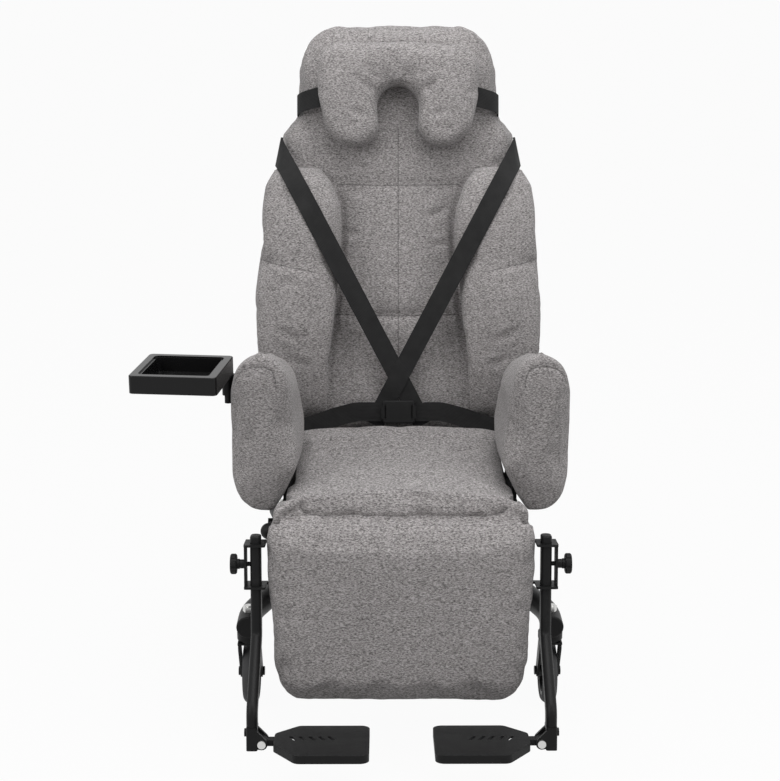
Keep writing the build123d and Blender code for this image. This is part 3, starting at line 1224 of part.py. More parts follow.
# Legrest lever with its ball knob, on a stud of the left rail
def legrest_lever():
    rail_side = RAIL_X + RAIL_WIDTH / 2
    pivot = (-LEVER_X, LEVER_PIVOT_Y, LEVER_PIVOT_Z)
    tip = (-LEVER_X, LEVER_BALL_Y, LEVER_PIVOT_Z + 2 * LEVER_ROD_R)
    hub_outer = (-LEVER_X - 1.5 * LEVER_ROD_R, LEVER_PIVOT_Y, LEVER_PIVOT_Z)
    hub_inner = (-LEVER_X + 1.5 * LEVER_ROD_R, LEVER_PIVOT_Y, LEVER_PIVOT_Z)
    shaft_end = (-rail_side - 0.3, LEVER_PIVOT_Y, LEVER_PIVOT_Z)
    hub = rod(hub_outer, hub_inner, 2 * LEVER_ROD_R)
    shaft = rod(hub_inner, shaft_end, LEVER_ROD_R + 1)
    return Pos(*tip) * Sphere(LEVER_BALL_R) + rod(pivot, tip, LEVER_ROD_R) + hub + shaft


parts["legrest_lever"] = [legrest_lever()]


# Armrests: a padded block on two flat bars
def arm_section(y, inset, crown):
    outer = ARM_OUTER - inset
    inner = ARM_INNER + inset
    fall = ARM_FALL * (y - ARM_FRONT_Y) / (ARM_REAR_Y - ARM_FRONT_Y)
    top = ARM_TOP - fall - inset
    bottom = ARM_BOTTOM + inset
    corner = ARM_CORNER - inset * 0.4
    near = corner * (1 - math.sqrt(0.5))
    slope_x = ARM_SLOPE_X + inset * 0.2
    slope_z = ARM_SLOPE_TOP - inset * 0.2
    sag = ((inner + slope_x) / 2 + 3, (slope_z + bottom) / 2 + 1)
    foot = ARM_FOOT_R - inset * 0.5
    foot_near = foot * (1 - math.sqrt(0.5))
    sides = [
        Line((slope_x, bottom), (outer - foot, bottom)),
        ThreePointArc((outer - foot, bottom), (outer - foot_near, bottom + foot_near),
                      (outer, bottom + foot)),
        Line((outer, bottom + foot), (outer, top - corner)),
        ThreePointArc((outer, top - corner), (outer - near, top - near), (outer - corner, top)),
        ThreePointArc((outer - corner, top), ((outer + inner) / 2, top + crown), (inner + corner, top)),
        ThreePointArc((inner + corner, top), (inner + near, top - near), (inner, top - corner)),
        Line((inner, top - corner), (inner, slope_z)),
        ThreePointArc((inner, slope_z), sag, (slope_x, bottom)),
    ]
    return Plane((0, y, 0), x_dir=(1, 0, 0), z_dir=(0, -1, 0)) * make_face(Curve() + sides)


def arm_bar(y):
    bar = block(BAR_X - BAR_THICK / 2, BAR_X + BAR_THICK / 2, y - BAR_WIDTH / 2, y + BAR_WIDTH / 2,
                BAR_BOTTOM, BAR_TOP)
    return chamfer(bar.faces().sort_by(Axis.Z)[0].edges(), 1.5)


arm_bars = [arm_bar(y) for y in (BAR_FRONT_Y, BAR_REAR_Y)]


def arm_at(y):
    inset = inset_at(min(y - ARM_FRONT_Y, ARM_REAR_Y - y), ARM_ROLL)
    return arm_section(y, inset, ARM_CROWN * (1 - 0.5 * inset / ARM_ROLL))


arm_rows = levels(ARM_FRONT_Y, ARM_REAR_Y, ARM_ROLL, 130.0)
arm_form = loft([arm_at(y) for y in reversed(arm_rows)], ruled=True)
arm_pad = arm_form - arm_bars
parts["armrest_pad_right"] = [arm_pad]
parts["armrest_pad_left"] = [mirrored(arm_pad)]
parts["armrest_bars_right"] = arm_bars
parts["armrest_bars_left"] = [mirrored(bar) for bar in arm_bars]


# Tray on a post in the armrest's side bracket
tray_middle = (TRAY_SIDE - TRAY_SIZE / 2, -TRAY_AHEAD - TRAY_SIZE / 2)


def tray_bracket():
    lug_top = TRAY_BOTTOM - SHEET - 2
    lug_bottom = lug_top - TRAY_LUG_HEIGHT
    plate = block(-ARM_OUTER - SHEET, -ARM_OUTER, TRAY_POST_Y - TRAY_PLATE_WIDTH / 2,
                  TRAY_POST_Y + TRAY_PLATE_WIDTH / 2, lug_top - TRAY_PLATE_HEIGHT, lug_top)
    plate = fillet(plate.edges().filter_by(Axis.X), 6)
    post = (TRAY_POST_X, TRAY_POST_Y, lug_bottom), (TRAY_POST_X, TRAY_POST_Y, lug_top)
    web = block(TRAY_POST_X, -ARM_OUTER - SHEET, TRAY_POST_Y - 5, TRAY_POST_Y + 5, lug_bottom, lug_top)
    return plate + rod(*post, TRAY_LUG_R) + web - rod(*post, TRAY_POST_R + RUN_FIT)


def tray_arm():
    post = rod((0, 0, -TRAY_POST_LENGTH), (0, 0, 0), TRAY_POST_R)
    flat = hull(Circle(TRAY_LUG_R), Pos(*tray_middle) * Circle(TRAY_PALM_R))
    return post + extrude(Pos(0, 0, -SHEET) * flat, SHEET)


def tray_box():
    outer = RectangleRounded(TRAY_SIZE, TRAY_SIZE, TRAY_CORNER)
    mouth = TRAY_SIZE - 2 * TRAY_RIM
    box = extrude(outer, TRAY_HEIGHT)
    box = fillet(box.faces().sort_by(Axis.Z)[-1].edges(), 2)
    rim = Pos(0, 0, TRAY_HEIGHT)
    pocket = extrude(rim * RectangleRounded(mouth, mouth, TRAY_CORNER), TRAY_FLOOR - TRAY_HEIGHT, taper=6)
    ledge = extrude(rim * RectangleRounded(mouth + 8, mouth + 8, TRAY_CORNER), -3)
    return Pos(*tray_middle) * (box - pocket - ledge)


tray_at = Location((TRAY_POST_X, TRAY_POST_Y, TRAY_BOTTOM), (0, 0, -TRAY_YAW))
parts["tray_bracket"] = [tray_bracket()]
parts["tray_arm"] = [tray_at * tray_arm()]
parts["tray_box"] = [tray_at * tray_box()]

os.makedirs("parts", exist_ok=True)
for name, solids in parts.items():
    flat = [solid for shape in solids for solid in shape.solids()]
    whole = flat[0] if len(flat) == 1 else Compound(children=flat)
    export_step(whole, f"parts/{name}.step")
print(len(parts), "nodes", sum(len(s) for s in parts.values()), "shapes")
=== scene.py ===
import bpy
import math
import numpy as np
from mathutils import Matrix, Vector, noise
from mathutils.bvhtree import BVHTree


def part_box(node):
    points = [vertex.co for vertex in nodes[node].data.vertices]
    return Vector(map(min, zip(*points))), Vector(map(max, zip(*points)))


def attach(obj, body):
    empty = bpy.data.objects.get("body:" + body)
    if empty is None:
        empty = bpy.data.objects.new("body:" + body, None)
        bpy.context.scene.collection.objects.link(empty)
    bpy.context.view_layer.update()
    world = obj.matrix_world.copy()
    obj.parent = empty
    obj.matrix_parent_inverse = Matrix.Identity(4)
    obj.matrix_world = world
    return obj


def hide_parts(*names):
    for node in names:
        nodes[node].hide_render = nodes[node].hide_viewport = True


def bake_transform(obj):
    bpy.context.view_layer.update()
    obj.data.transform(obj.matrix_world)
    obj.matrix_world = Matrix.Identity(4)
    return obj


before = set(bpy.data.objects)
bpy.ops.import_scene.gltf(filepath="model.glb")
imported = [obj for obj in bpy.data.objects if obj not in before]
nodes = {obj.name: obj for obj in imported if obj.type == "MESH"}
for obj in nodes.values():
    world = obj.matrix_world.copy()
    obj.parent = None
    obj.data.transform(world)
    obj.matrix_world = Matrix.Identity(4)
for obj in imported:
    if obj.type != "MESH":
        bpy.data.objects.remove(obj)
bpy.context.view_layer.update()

# Base frame: two splayed round tubes, two cross tubes and four posts, welded up from steel
# and powder-coated black, with moulded caps pushed into the tube ends.
GRAIN_DEPTH = 0.0004

# Sockets of Blender's Mix node when it mixes colours.
MIX_SHARE, MIX_ONE, MIX_OTHER, MIX_RESULT = 0, 6, 7, 2


def start_finish(name):
    """A new material with its Principled shader, ready to be wired."""
    finish = bpy.data.materials.new(name)
    finish.use_nodes = True
    tree = finish.node_tree
    return finish, tree.nodes, tree.links, tree.nodes["Principled BSDF"]


def add_node(tree_nodes, kind, **values):
    """A shader node with some of its settings and unlinked inputs set."""
    node = tree_nodes.new("ShaderNode" + kind)
    for key, value in values.items():
        if key in node.inputs:
            node.inputs[key].default_value = value
        else:
            setattr(node, key, value)
    return node


def start_group(name, sockets_in, sockets_out):
    """A shader node group with named inputs and outputs."""
    group = bpy.data.node_groups.new(name, "ShaderNodeTree")
    for socket, kind in sockets_in:
        group.interface.new_socket(name=socket, in_out="INPUT", socket_type="NodeSocket" + kind)
    for socket, kind in sockets_out:
        group.interface.new_socket(name=socket, in_out="OUTPUT", socket_type="NodeSocket" + kind)
    return group, group.nodes.new("NodeGroupInput"), group.nodes.new("NodeGroupOutput")


def use_group(tree_nodes, group, **values):
    """A copy of a node group in a material, with its own values."""
    node = tree_nodes.new("ShaderNodeGroup")
    node.node_tree = group
    for key, value in values.items():
        node.inputs[key].default_value = value
    return node


def wire(links, *pairs):
    """Joins outputs to inputs."""
    for sender, receiver in pairs:
        links.new(sender, receiver)


def paint(finish, *names):
    """Gives CAD nodes a finish."""
    for name in names:
        nodes[name].data.materials.clear()
        nodes[name].data.materials.append(finish)


grain, grain_in, grain_out = start_group(
    "coat_grain",
    [("Vector", "Vector"), ("Fine", "Float"), ("Broad", "Float")],
    [("Mottle", "Float"), ("Scuff", "Float"), ("Height", "Float")],
)
fine_noise = add_node(grain.nodes, "TexNoise", Detail=3.0, Roughness=0.6)
broad_noise = add_node(grain.nodes, "TexNoise", Detail=5.0, Roughness=0.65)
scuff_ramp = add_node(grain.nodes, "MapRange", **{"From Min": 0.58, "From Max": 0.78})
wire(
    grain.links,
    (grain_in.outputs["Vector"], fine_noise.inputs["Vector"]),
    (grain_in.outputs["Fine"], fine_noise.inputs["Scale"]),
    (grain_in.outputs["Vector"], broad_noise.inputs["Vector"]),
    (grain_in.outputs["Broad"], broad_noise.inputs["Scale"]),
    (broad_noise.outputs["Fac"], scuff_ramp.inputs["Value"]),
    (broad_noise.outputs["Fac"], grain_out.inputs["Mottle"]),
    (scuff_ramp.outputs["Result"], grain_out.inputs["Scuff"]),
    (fine_noise.outputs["Fac"], grain_out.inputs["Height"]),
)


def coated(name, dark, light, smooth, rough, fine, broad, bump, metallic=0.0, shine=0.14):
    """A painted or moulded surface: mottled colour, uneven gloss and a fine grain."""
    finish, tree, links, shader = start_finish(name)
    place = add_node(tree, "TexCoord")
    mottled = use_group(tree, grain, Fine=fine, Broad=broad)
    colour = add_node(tree, "Mix", data_type="RGBA")
    colour.inputs[MIX_ONE].default_value = (*dark, 1)
    colour.inputs[MIX_OTHER].default_value = (*light, 1)
    gloss = add_node(tree, "MapRange", **{"To Min": smooth, "To Max": rough})
    relief = add_node(tree, "Bump", Strength=bump, Distance=GRAIN_DEPTH)
    wire(
        links,
        (place.outputs["Object"], mottled.inputs["Vector"]),
        (mottled.outputs["Scuff"], colour.inputs[MIX_SHARE]),
        (colour.outputs[MIX_RESULT], shader.inputs["Base Color"]),
        (mottled.outputs["Mottle"], gloss.inputs["Value"]),
        (gloss.outputs["Result"], shader.inputs["Roughness"]),
        (mottled.outputs["Height"], relief.inputs["Height"]),
        (relief.outputs["Normal"], shader.inputs["Normal"]),
    )
    shader.inputs["Metallic"].default_value = metallic
    shader.inputs["Specular IOR Level"].default_value = shine
    return finish


powder_coat = coated(
    "black_powder_coat", dark=(0.006, 0.006, 0.0062), light=(0.014, 0.014, 0.0142),
    smooth=0.34, rough=0.52, fine=900, broad=26, bump=0.35)
moulded_black = coated(
    "black_moulding", dark=(0.007, 0.007, 0.0072), light=(0.013, 0.013, 0.0132),
    smooth=0.42, rough=0.62, fine=1500, broad=30, bump=0.5)
paint(powder_coat, "base_side_tubes", "base_cross_frames")
paint(moulded_black, "base_end_caps")

# Casters: pressed steel forks on zinc-plated stem bolts, with moulded hubs and grey rubber tyres
# that turn on the axle bolts. The two at the back have a moulded brake pedal.
HUB_REACH = 0.0472
TYRE_REACH = 0.0478
zinc = coated(
    "zinc_plate", dark=(0.62, 0.62, 0.61), light=(0.5, 0.49, 0.46),
    smooth=0.22, rough=0.45, fine=700, broad=60, bump=0.2, metallic=1.0, shine=0.5)
paint(zinc, "caster_stem_bolts")
for corner in ("front_left", "front_right", "rear_left", "rear_right"):
    paint(powder_coat, "caster_fork_" + corner)
    low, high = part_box("caster_wheel_" + corner)
    tyre, tree, links, shader = start_finish("tyre_" + corner)
    place = add_node(tree, "TexCoord")
    centred = add_node(tree, "Mapping", Location=[-(a + b) / 2 for a, b in zip(low, high)])
    flat = add_node(tree, "VectorMath", operation="MULTIPLY")
    flat.inputs[1].default_value = (0, 1, 1)
    reach = add_node(tree, "VectorMath", operation="LENGTH")
    rubber = add_node(tree, "MapRange", **{"From Min": HUB_REACH, "From Max": TYRE_REACH})
    mottled = use_group(tree, grain, Fine=1100, Broad=40)
    colour = add_node(tree, "Mix", data_type="RGBA")
    colour.inputs[MIX_ONE].default_value = (0.010, 0.010, 0.0102, 1)
    colour.inputs[MIX_OTHER].default_value = (0.030, 0.030, 0.031, 1)
    gloss = add_node(tree, "MapRange", **{"To Min": 0.42, "To Max": 0.78})
    relief = add_node(tree, "Bump", Strength=0.4, Distance=GRAIN_DEPTH)
    wire(
        links,
        (place.outputs["Object"], centred.inputs["Vector"]),
        (centred.outputs["Vector"], flat.inputs[0]),
        (flat.outputs["Vector"], reach.inputs[0]),
        (reach.outputs["Value"], rubber.inputs["Value"]),
        (place.outputs["Object"], mottled.inputs["Vector"]),
        (rubber.outputs["Result"], colour.inputs[MIX_SHARE]),
        (colour.outputs[MIX_RESULT], shader.inputs["Base Color"]),
        (rubber.outputs["Result"], gloss.inputs["Value"]),
        (gloss.outputs["Result"], shader.inputs["Roughness"]),
        (mottled.outputs["Height"], relief.inputs["Height"]),
        (relief.outputs["Normal"], shader.inputs["Normal"]),
    )
    paint(tyre, "caster_wheel_" + corner)
paint(moulded_black, "brake_pedal_rear_left", "brake_pedal_rear_right")

# Seat frame: two side rails and two cross rails of flat steel tube with the hinge pins through
# their lugs, carrying a black-stained plywood board under the cushion.


def two_tones(tree_nodes, start, dark, end, light):
    """A ramp from a dark colour to a light one."""
    ramp = add_node(tree_nodes, "ValToRGB")
    for stop, (place, colour) in enumerate(((start, dark), (end, light))):
        ramp.color_ramp.elements[stop].position = place
        ramp.color_ramp.elements[stop].color = (*colour, 1)
    return ramp


paint(powder_coat, "seat_side_rails", "seat_cross_rails", "armrest_sockets")
paint(zinc, "hinge_pins")
plywood, tree, links, shader = start_finish("stained_plywood")
place = add_node(tree, "TexCoord")
stretched = add_node(tree, "Mapping", Scale=(26, 2.2, 180))
fibre = add_node(tree, "TexNoise", Scale=6.0, Detail=6.0, Roughness=0.6, Distortion=0.8)
tone = two_tones(tree, 0.3, (0.016, 0.014, 0.012), 0.72, (0.040, 0.034, 0.029))
relief = add_node(tree, "Bump", Strength=0.25, Distance=0.0005)
wire(
    links,
    (place.outputs["Object"], stretched.inputs["Vector"]),
    (stretched.outputs["Vector"], fibre.inputs["Vector"]),
    (fibre.outputs["Fac"], tone.inputs["Fac"]),
    (tone.outputs["Color"], shader.inputs["Base Color"]),
    (fibre.outputs["Fac"], relief.inputs["Height"]),
    (relief.outputs["Normal"], shader.inputs["Normal"]),
)
shader.inputs["Roughness"].default_value = 0.6
paint(plywood, "seat_board", "legrest_board")

# Gas spring: black lacquered cylinder with a polished rod, under the board between the cross rail
# and the back's lever arm.
lacquer = coated(
    "black_lacquer", dark=(0.006, 0.006, 0.0062), light=(0.012, 0.012, 0.0122),
    smooth=0.18, rough=0.3, fine=500, broad=18, bump=0.08, shine=0.45)
paint(lacquer, "gas_cylinder")
chrome, tree, links, shader = start_finish("polished_rod")
place = add_node(tree, "TexCoord")
mottled = use_group(tree, grain, Fine=400, Broad=60)
gloss = add_node(tree, "MapRange", **{"To Min": 0.06, "To Max": 0.2})
wire(
    links,
    (place.outputs["Object"], mottled.inputs["Vector"]),
    (mottled.outputs["Mottle"], gloss.inputs["Value"]),
    (gloss.outputs["Result"], shader.inputs["Roughness"]),
)
shader.inputs["Base Color"].default_value = (0.78, 0.79, 0.8, 1)
shader.inputs["Metallic"].default_value = 1.0
paint(chrome, "gas_rod")

# Seat cushion: a foam block with a crowned top, covered in grey flecked woven cloth. A cross seam
# near the front edge joins the top panel to the front band, and the cloth puckers at the back.
THREAD_LEAN = 0.7
NO_SEAM = 0.05
SEAM_SPREAD = 0.022
PUCKER_PITCH = 0.019
FILL_FRAMES = 20
BOARD_SOFT = 0.012
weave, weave_in, weave_out = start_group(
    "basket_weave",
    [("Vector", "Vector"), ("Pitch", "Float")],
    [("Fleck", "Float"), ("Height", "Float")],
)
wander = add_node(weave.nodes, "TexNoise", Scale=55.0, Detail=2.0)
sway = add_node(weave.nodes, "VectorMath", operation="MULTIPLY_ADD")
sway.inputs[1].default_value = (0.0015, 0.0015, 0.0015)
split = add_node(weave.nodes, "SeparateXYZ")
over = add_node(weave.nodes, "Math", operation="MULTIPLY")
for thread_set, axis in enumerate(("X", "Z")):
    lean = add_node(weave.nodes, "Math", operation="MULTIPLY_ADD")
    lean.inputs[1].default_value = THREAD_LEAN
    count = add_node(weave.nodes, "Math", operation="DIVIDE")
    turn = add_node(weave.nodes, "Math", operation="MULTIPLY")
    turn.inputs[1].default_value = 2 * math.pi
    wave = add_node(weave.nodes, "Math", operation="SINE")
    wire(
        weave.links,
        (split.outputs["Y"], lean.inputs[0]),
        (split.outputs[axis], lean.inputs[2]),
        (lean.outputs["Value"], count.inputs[0]),
        (weave_in.outputs["Pitch"], count.inputs[1]),
        (count.outputs["Value"], turn.inputs[0]),
        (turn.outputs["Value"], wave.inputs[0]),
        (wave.outputs["Value"], over.inputs[thread_set]),
    )
level = add_node(weave.nodes, "VectorMath", operation="MULTIPLY")
level.inputs[1].default_value = (0.62, 0.62, 1.75)
per_metre = add_node(weave.nodes, "Math", operation="DIVIDE")
per_metre.inputs[0].default_value = 1.0
fleck = add_node(weave.nodes, "TexNoise", Detail=3.0, Roughness=0.8)
ridge = add_node(weave.nodes, "Math", operation="ABSOLUTE")
wire(
    weave.links,
    (weave_in.outputs["Vector"], wander.inputs["Vector"]),
    (wander.outputs["Color"], sway.inputs[0]),
    (weave_in.outputs["Vector"], sway.inputs[2]),
    (sway.outputs["Vector"], split.inputs["Vector"]),
    (sway.outputs["Vector"], level.inputs[0]),
    (weave_in.outputs["Pitch"], per_metre.inputs[1]),
    (level.outputs["Vector"], fleck.inputs["Vector"]),
    (per_metre.outputs["Value"], fleck.inputs["Scale"]),
    (fleck.outputs["Fac"], weave_out.inputs["Fleck"]),
    (over.outputs["Value"], ridge.inputs[0]),
    (ridge.outputs["Value"], weave_out.inputs["Height"]),
)


def woven(name, dark, light, pitch, bump, painted_seam_shade=True):
    """Flecked upholstery cloth, with painted shade as a thin dark line along the seam grooves of a sewn
    piece.
    """
    finish, tree, links, shader = start_finish(name)
    place = add_node(tree, "TexCoord")
    cloth = use_group(tree, weave, Pitch=pitch)
    tone = two_tones(tree, 0.37, dark, 0.63, light)
    patch = add_node(tree, "TexNoise", Scale=7.0, Detail=4.0, Roughness=0.6)
    faded = add_node(tree, "MapRange", **{"To Min": 0.9, "To Max": 1.1})
    shade = add_node(tree, "Mix", data_type="RGBA", blend_type="MULTIPLY")
    shade.inputs[MIX_SHARE].default_value = 1.0
    relief = add_node(tree, "Bump", Strength=bump, Distance=0.0008)
    wire(
        links,
        (place.outputs["Object"], cloth.inputs["Vector"]),
        (cloth.outputs["Fleck"], tone.inputs["Fac"]),
        (place.outputs["Object"], patch.inputs["Vector"]),
        (patch.outputs["Fac"], faded.inputs["Value"]),
        (tone.outputs["Color"], shade.inputs[MIX_ONE]),
        (faded.outputs["Result"], shade.inputs[MIX_OTHER]),
        (cloth.outputs["Height"], relief.inputs["Height"]),
        (relief.outputs["Normal"], shader.inputs["Normal"]),
    )
    colour = shade
    if painted_seam_shade:
        seam_distances = add_node(tree, "Attribute", attribute_name="seams")
        lanes = add_node(tree, "SeparateXYZ")
        links.new(seam_distances.outputs["Vector"], lanes.inputs["Vector"])
        nearest = None
        for lane in ("X", "Y", "Z"):
            gap = add_node(tree, "Math", operation="ABSOLUTE")
            links.new(lanes.outputs[lane], gap.inputs[0])
            if nearest is None:
                nearest = gap
                continue
            least = add_node(tree, "Math", operation="MINIMUM")
            links.new(nearest.outputs["Value"], least.inputs[0])
            links.new(gap.outputs["Value"], least.inputs[1])
            nearest = least
        # Painted shade in the seam grooves: near a seam the cloth is mixed towards a third of its darkest
        # fleck colour.
        line = add_node(tree, "MapRange", **{
            "From Min": 0.0007, "From Max": 0.0017, "To Min": 0.45, "To Max": 0.0})
        colour = add_node(tree, "Mix", data_type="RGBA")
        colour.inputs[MIX_OTHER].default_value = tuple(c * 0.3 for c in dark) + (1,)
        links.new(nearest.outputs["Value"], line.inputs["Value"])
        links.new(line.outputs["Result"], colour.inputs[MIX_SHARE])
        links.new(shade.outputs[MIX_RESULT], colour.inputs[MIX_ONE])
    links.new(colour.outputs[MIX_RESULT], shader.inputs["Base Color"])
    shader.inputs["Roughness"].default_value = 0.95
    shader.inputs["Sheen Weight"].default_value = 0.15
    shader.inputs["Sheen Roughness"].default_value = 0.5
    shader.inputs["Specular IOR Level"].default_value = 0.25
    return finish


grey_cloth = woven(
    "grey_flecked_cloth", (0.066, 0.060, 0.0595), (0.400, 0.380, 0.377), pitch=0.0028, bump=0.55)


def points_of(piece):
    """The piece's points and their normals as arrays."""
    places = np.empty(len(piece.data.vertices) * 3)
    piece.data.vertices.foreach_get("co", places)
    normals = np.empty(len(piece.data.vertices) * 3)
    piece.data.vertices.foreach_get("normal", normals)
    return places.reshape(-1, 3), normals.reshape(-1, 3)


def put_points(piece, places):
    """Moves the piece's points."""
    piece.data.vertices.foreach_set("co", places.ravel())
    piece.data.update()


def only(piece):
    """Makes a piece the one that operators act on."""
    bpy.ops.object.select_all(action="DESELECT")
    bpy.context.view_layer.objects.active = piece
    piece.select_set(True)


def smooth_out(piece, turns):
    """Evens out a piece's surface."""
    only(piece)
    even = piece.modifiers.new("even", "SMOOTH")
    even.factor = 0.5
    even.iterations = turns
    bpy.ops.object.modifier_apply(modifier=even.name)


def unsewn(piece):
    """Gives a piece its distances to seams, with none near yet."""
    seams = piece.data.attributes.new("seams", "FLOAT_VECTOR", "POINT")
    seams.data.foreach_set("vector", np.full(len(piece.data.vertices) * 3, NO_SEAM, np.float32))


def stuffed(name, node, voxel, cap, held, ease=0.004, slack=0.02):
    """A foam form under cloth: the solid is remeshed, drawn in and blown up by cloth simulation,
    by no more than the cap, and brought back to the solid's box."""
    piece = bpy.data.objects.new(name, nodes[node].data.copy())
    bpy.context.collection.objects.link(piece)
    piece.data.materials.clear()
    only(piece)
    bpy.ops.object.mode_set(mode="EDIT")
    bpy.ops.mesh.select_all(action="SELECT")
    bpy.ops.mesh.remove_doubles(threshold=0.00005)
    bpy.ops.object.mode_set(mode="OBJECT")
    piece.data.remesh_voxel_size = voxel
    bpy.ops.object.voxel_remesh()
    smooth_out(piece, 5)
    places, normals = points_of(piece)
    kept = held(places)
    drawn_in = (ease * (1 - kept))[:, None]
    put_points(piece, places - normals * drawn_in)
    start = points_of(piece)[0]
    pins = piece.vertex_groups.new(name="held")
    for index in np.nonzero(kept > 0.05)[0]:
        pins.add([int(index)], float(kept[index]), "REPLACE")
    filling = piece.modifiers.new("filling", "CLOTH")
    filling.settings.use_pressure = True
    filling.settings.uniform_pressure_force = 4
    filling.settings.vertex_group_mass = pins.name
    filling.settings.effector_weights.gravity = 0
    filling.settings.shrink_min = -slack
    filling.settings.bending_stiffness = 2.0
    filling.point_cache.frame_start = 1
    filling.point_cache.frame_end = FILL_FRAMES
    for moment in range(1, FILL_FRAMES + 1):
        bpy.context.scene.frame_set(moment)
    bpy.ops.object.modifier_apply(modifier=filling.name)
    bpy.context.scene.frame_set(1)
    moved = points_of(piece)[0] - start
    length = np.linalg.norm(moved, axis=1)
    moved *= np.minimum(1, cap / np.maximum(length, 1e-9))[:, None]
    put_points(piece, start + moved)
    piece.vertex_groups.clear()
    smooth_out(piece, 2)
    low, high = (np.array(corner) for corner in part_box(node))
    places = points_of(piece)[0]
    lowest, highest = places.min(axis=0), places.max(axis=0)
    put_points(piece, low + (places - lowest) * (high - low) / (highest - lowest))
    finer = piece.modifiers.new("finer", "SUBSURF")
    finer.levels = 1
    finer.render_levels = 1
    bpy.ops.object.modifier_apply(modifier=finer.name)
    bpy.ops.object.shade_smooth()
    unsewn(piece)
    return piece


def run_distance(flat, route):
    """How far points in a plane are from a route, on which side of it, and how far along it they lie."""
    best = np.full(len(flat), np.inf)
    along = np.zeros(len(flat))
    side = np.ones(len(flat))
    done = 0.0
    for a, b in zip(route, route[1:]):
        a = np.array(a)
        way = np.array(b) - a
        length = np.linalg.norm(way)
        apart = flat - a
        share = np.clip(apart @ way / length ** 2, 0, 1)
        gap = np.linalg.norm(apart - share[:, None] * way, axis=1)
        nearer = gap < best
        best[nearer] = gap[nearer]
        along[nearer] = (done + share * length)[nearer]
        side[nearer] = np.where(way[0] * apart[:, 1] - way[1] * apart[:, 0] < 0, -1, 1)[nearer]
        done += length
    return best, side, along, done


def turned_to(facing, normals):
    """1 where the cloth faces the side that a seam or fold is seen from, falling off to 0."""
    return np.clip(normals @ np.array(facing) * 2.5, 0, 1)


def sew(piece, lane, route, depth, width, pucker):
    """Draws a seam into the cloth along a route seen from the front, with small puckers beside it."""
    places, normals = points_of(piece)
    gap, side, along, whole = run_distance(places[:, (0, 2)], route)
    toward = turned_to((0, -1, 0), normals)
    fade = np.clip(np.minimum(along, whole - along) / (3 * width) + 0.25, 0, 1)
    press = depth * np.exp(-(gap / width) ** 2) * toward * fade
    phase = along * 2 * math.pi / PUCKER_PITCH + 2.3 * np.sin(along * 31.0)
    beat = np.sin(phase) * np.sin(along * 47.0 + 1.0)
    press += pucker * beat * np.exp(-(gap / SEAM_SPREAD) ** 2) * toward * fade
    put_points(piece, places - normals * press[:, None])
    # The seam distances kept below also place the painted seam shade in the cloth's material.
    values = np.empty(len(places) * 3, np.float32)
    layer = piece.data.attributes["seams"]
    layer.data.foreach_get("vector", values)
    values = values.reshape(-1, 3)
    line = side * np.where(toward * fade > 0.3, gap, np.maximum(gap, NO_SEAM))
    nearer = np.abs(line) < np.abs(values[:, lane])
    values[nearer, lane] = line[nearer]
    layer.data.foreach_set("vector", values.ravel())


def crease(piece, route, depth, width, plane=(0, 2), facing=(0, -1, 0)):
    """Presses a soft fold into the cloth: a valley that runs out at both ends, with a ridge each side."""
    places, normals = points_of(piece)
    gap, side, along, whole = run_distance(places[:, plane], route)
    toward = turned_to(facing, normals)
    lens = np.sin(math.pi * np.clip(along / whole, 0, 1))
    valley = np.exp(-(gap / width) ** 2) - 0.45 * np.exp(-((gap - 1.7 * width) / (0.9 * width)) ** 2)
    put_points(piece, places - normals * (depth * lens * toward * valley)[:, None])


def rumple(piece, size, depth, seed, stretch=(1, 1, 1)):
    """Slow unevenness of hand-covered foam."""
    places, normals = points_of(piece)
    shift = Vector((seed * 3.1, seed * 1.7, seed * 0.9))
    lift = np.array([noise.noise(Vector(p * np.array(stretch)) / size + shift) for p in places])
    put_points(piece, places + normals * (lift * depth)[:, None])


def cover(piece, body, node, finish):
    """Finishes a padded piece: its cloth, its body and the solid that it stands for."""
    piece.data.materials.append(finish)
    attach(piece, body)
    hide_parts(node)


def held_on_board(places):
    """Holds the cushion's points where it lies on its board."""
    return np.clip(1 - (places[:, 2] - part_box("seat_cushion")[0][2]) / BOARD_SOFT, 0, 1)


# The cushion swells in front of and behind the armrest bars, and its back edge stands higher.
SWELL_PLACES = (-0.207, -0.180, -0.150, -0.130, 0.058, 0.080)
SWELL_SCALES = (1, 1.07, 1.07, 1.02, 1.02, 1.05)
REAR_LIFT = 0.011
seat = stuffed("seat_pad", "seat_cushion", voxel=0.0075, cap=0.010, held=held_on_board)
places = points_of(seat)[0]
places[:, 0] *= np.interp(places[:, 1], SWELL_PLACES, SWELL_SCALES)
rear = np.clip((places[:, 1] + 0.05) / 0.17, 0, 1) ** 1.5
upper = np.clip((places[:, 2] - 0.42) / 0.03, 0, 1)
places[:, 2] += REAR_LIFT * rear * upper
put_points(seat, places)
rumple(seat, 0.09, 0.0022, 1)
rumple(seat, 0.03, 0.0008, 2, (0.5, 1, 1))
front_seam = [
    (-0.180, 0.448), (-0.172, 0.4365), (-0.14, 0.4315), (-0.02, 0.430),
    (0.08, 0.430), (0.15, 0.432), (0.182, 0.4375), (0.190, 0.449)]
sew(seat, 0, front_seam, depth=0.004, width=0.005, pucker=0.0012)
for x0, y0, x1, y1, deep, wide in (
    (-0.175, 0.075, -0.06, 0.035, 0.005, 0.010), (0.03, 0.045, 0.165, 0.085, 0.005, 0.011),
    (-0.10, 0.012, 0.05, 0.022, 0.0035, 0.012), (-0.185, -0.03, -0.105, 0.012, 0.004, 0.009),
    (0.085, -0.015, 0.18, 0.03, 0.004, 0.010), (-0.19, -0.11, -0.12, -0.085, 0.003, 0.010),
    (0.12, -0.09, 0.19, -0.105, 0.003, 0.010), (-0.05, 0.085, 0.06, 0.078, 0.004, 0.010),
):
    crease(seat, [(x0, y0), (x1, y1)], deep, wide, plane=(0, 1), facing=(0, 0, 1))
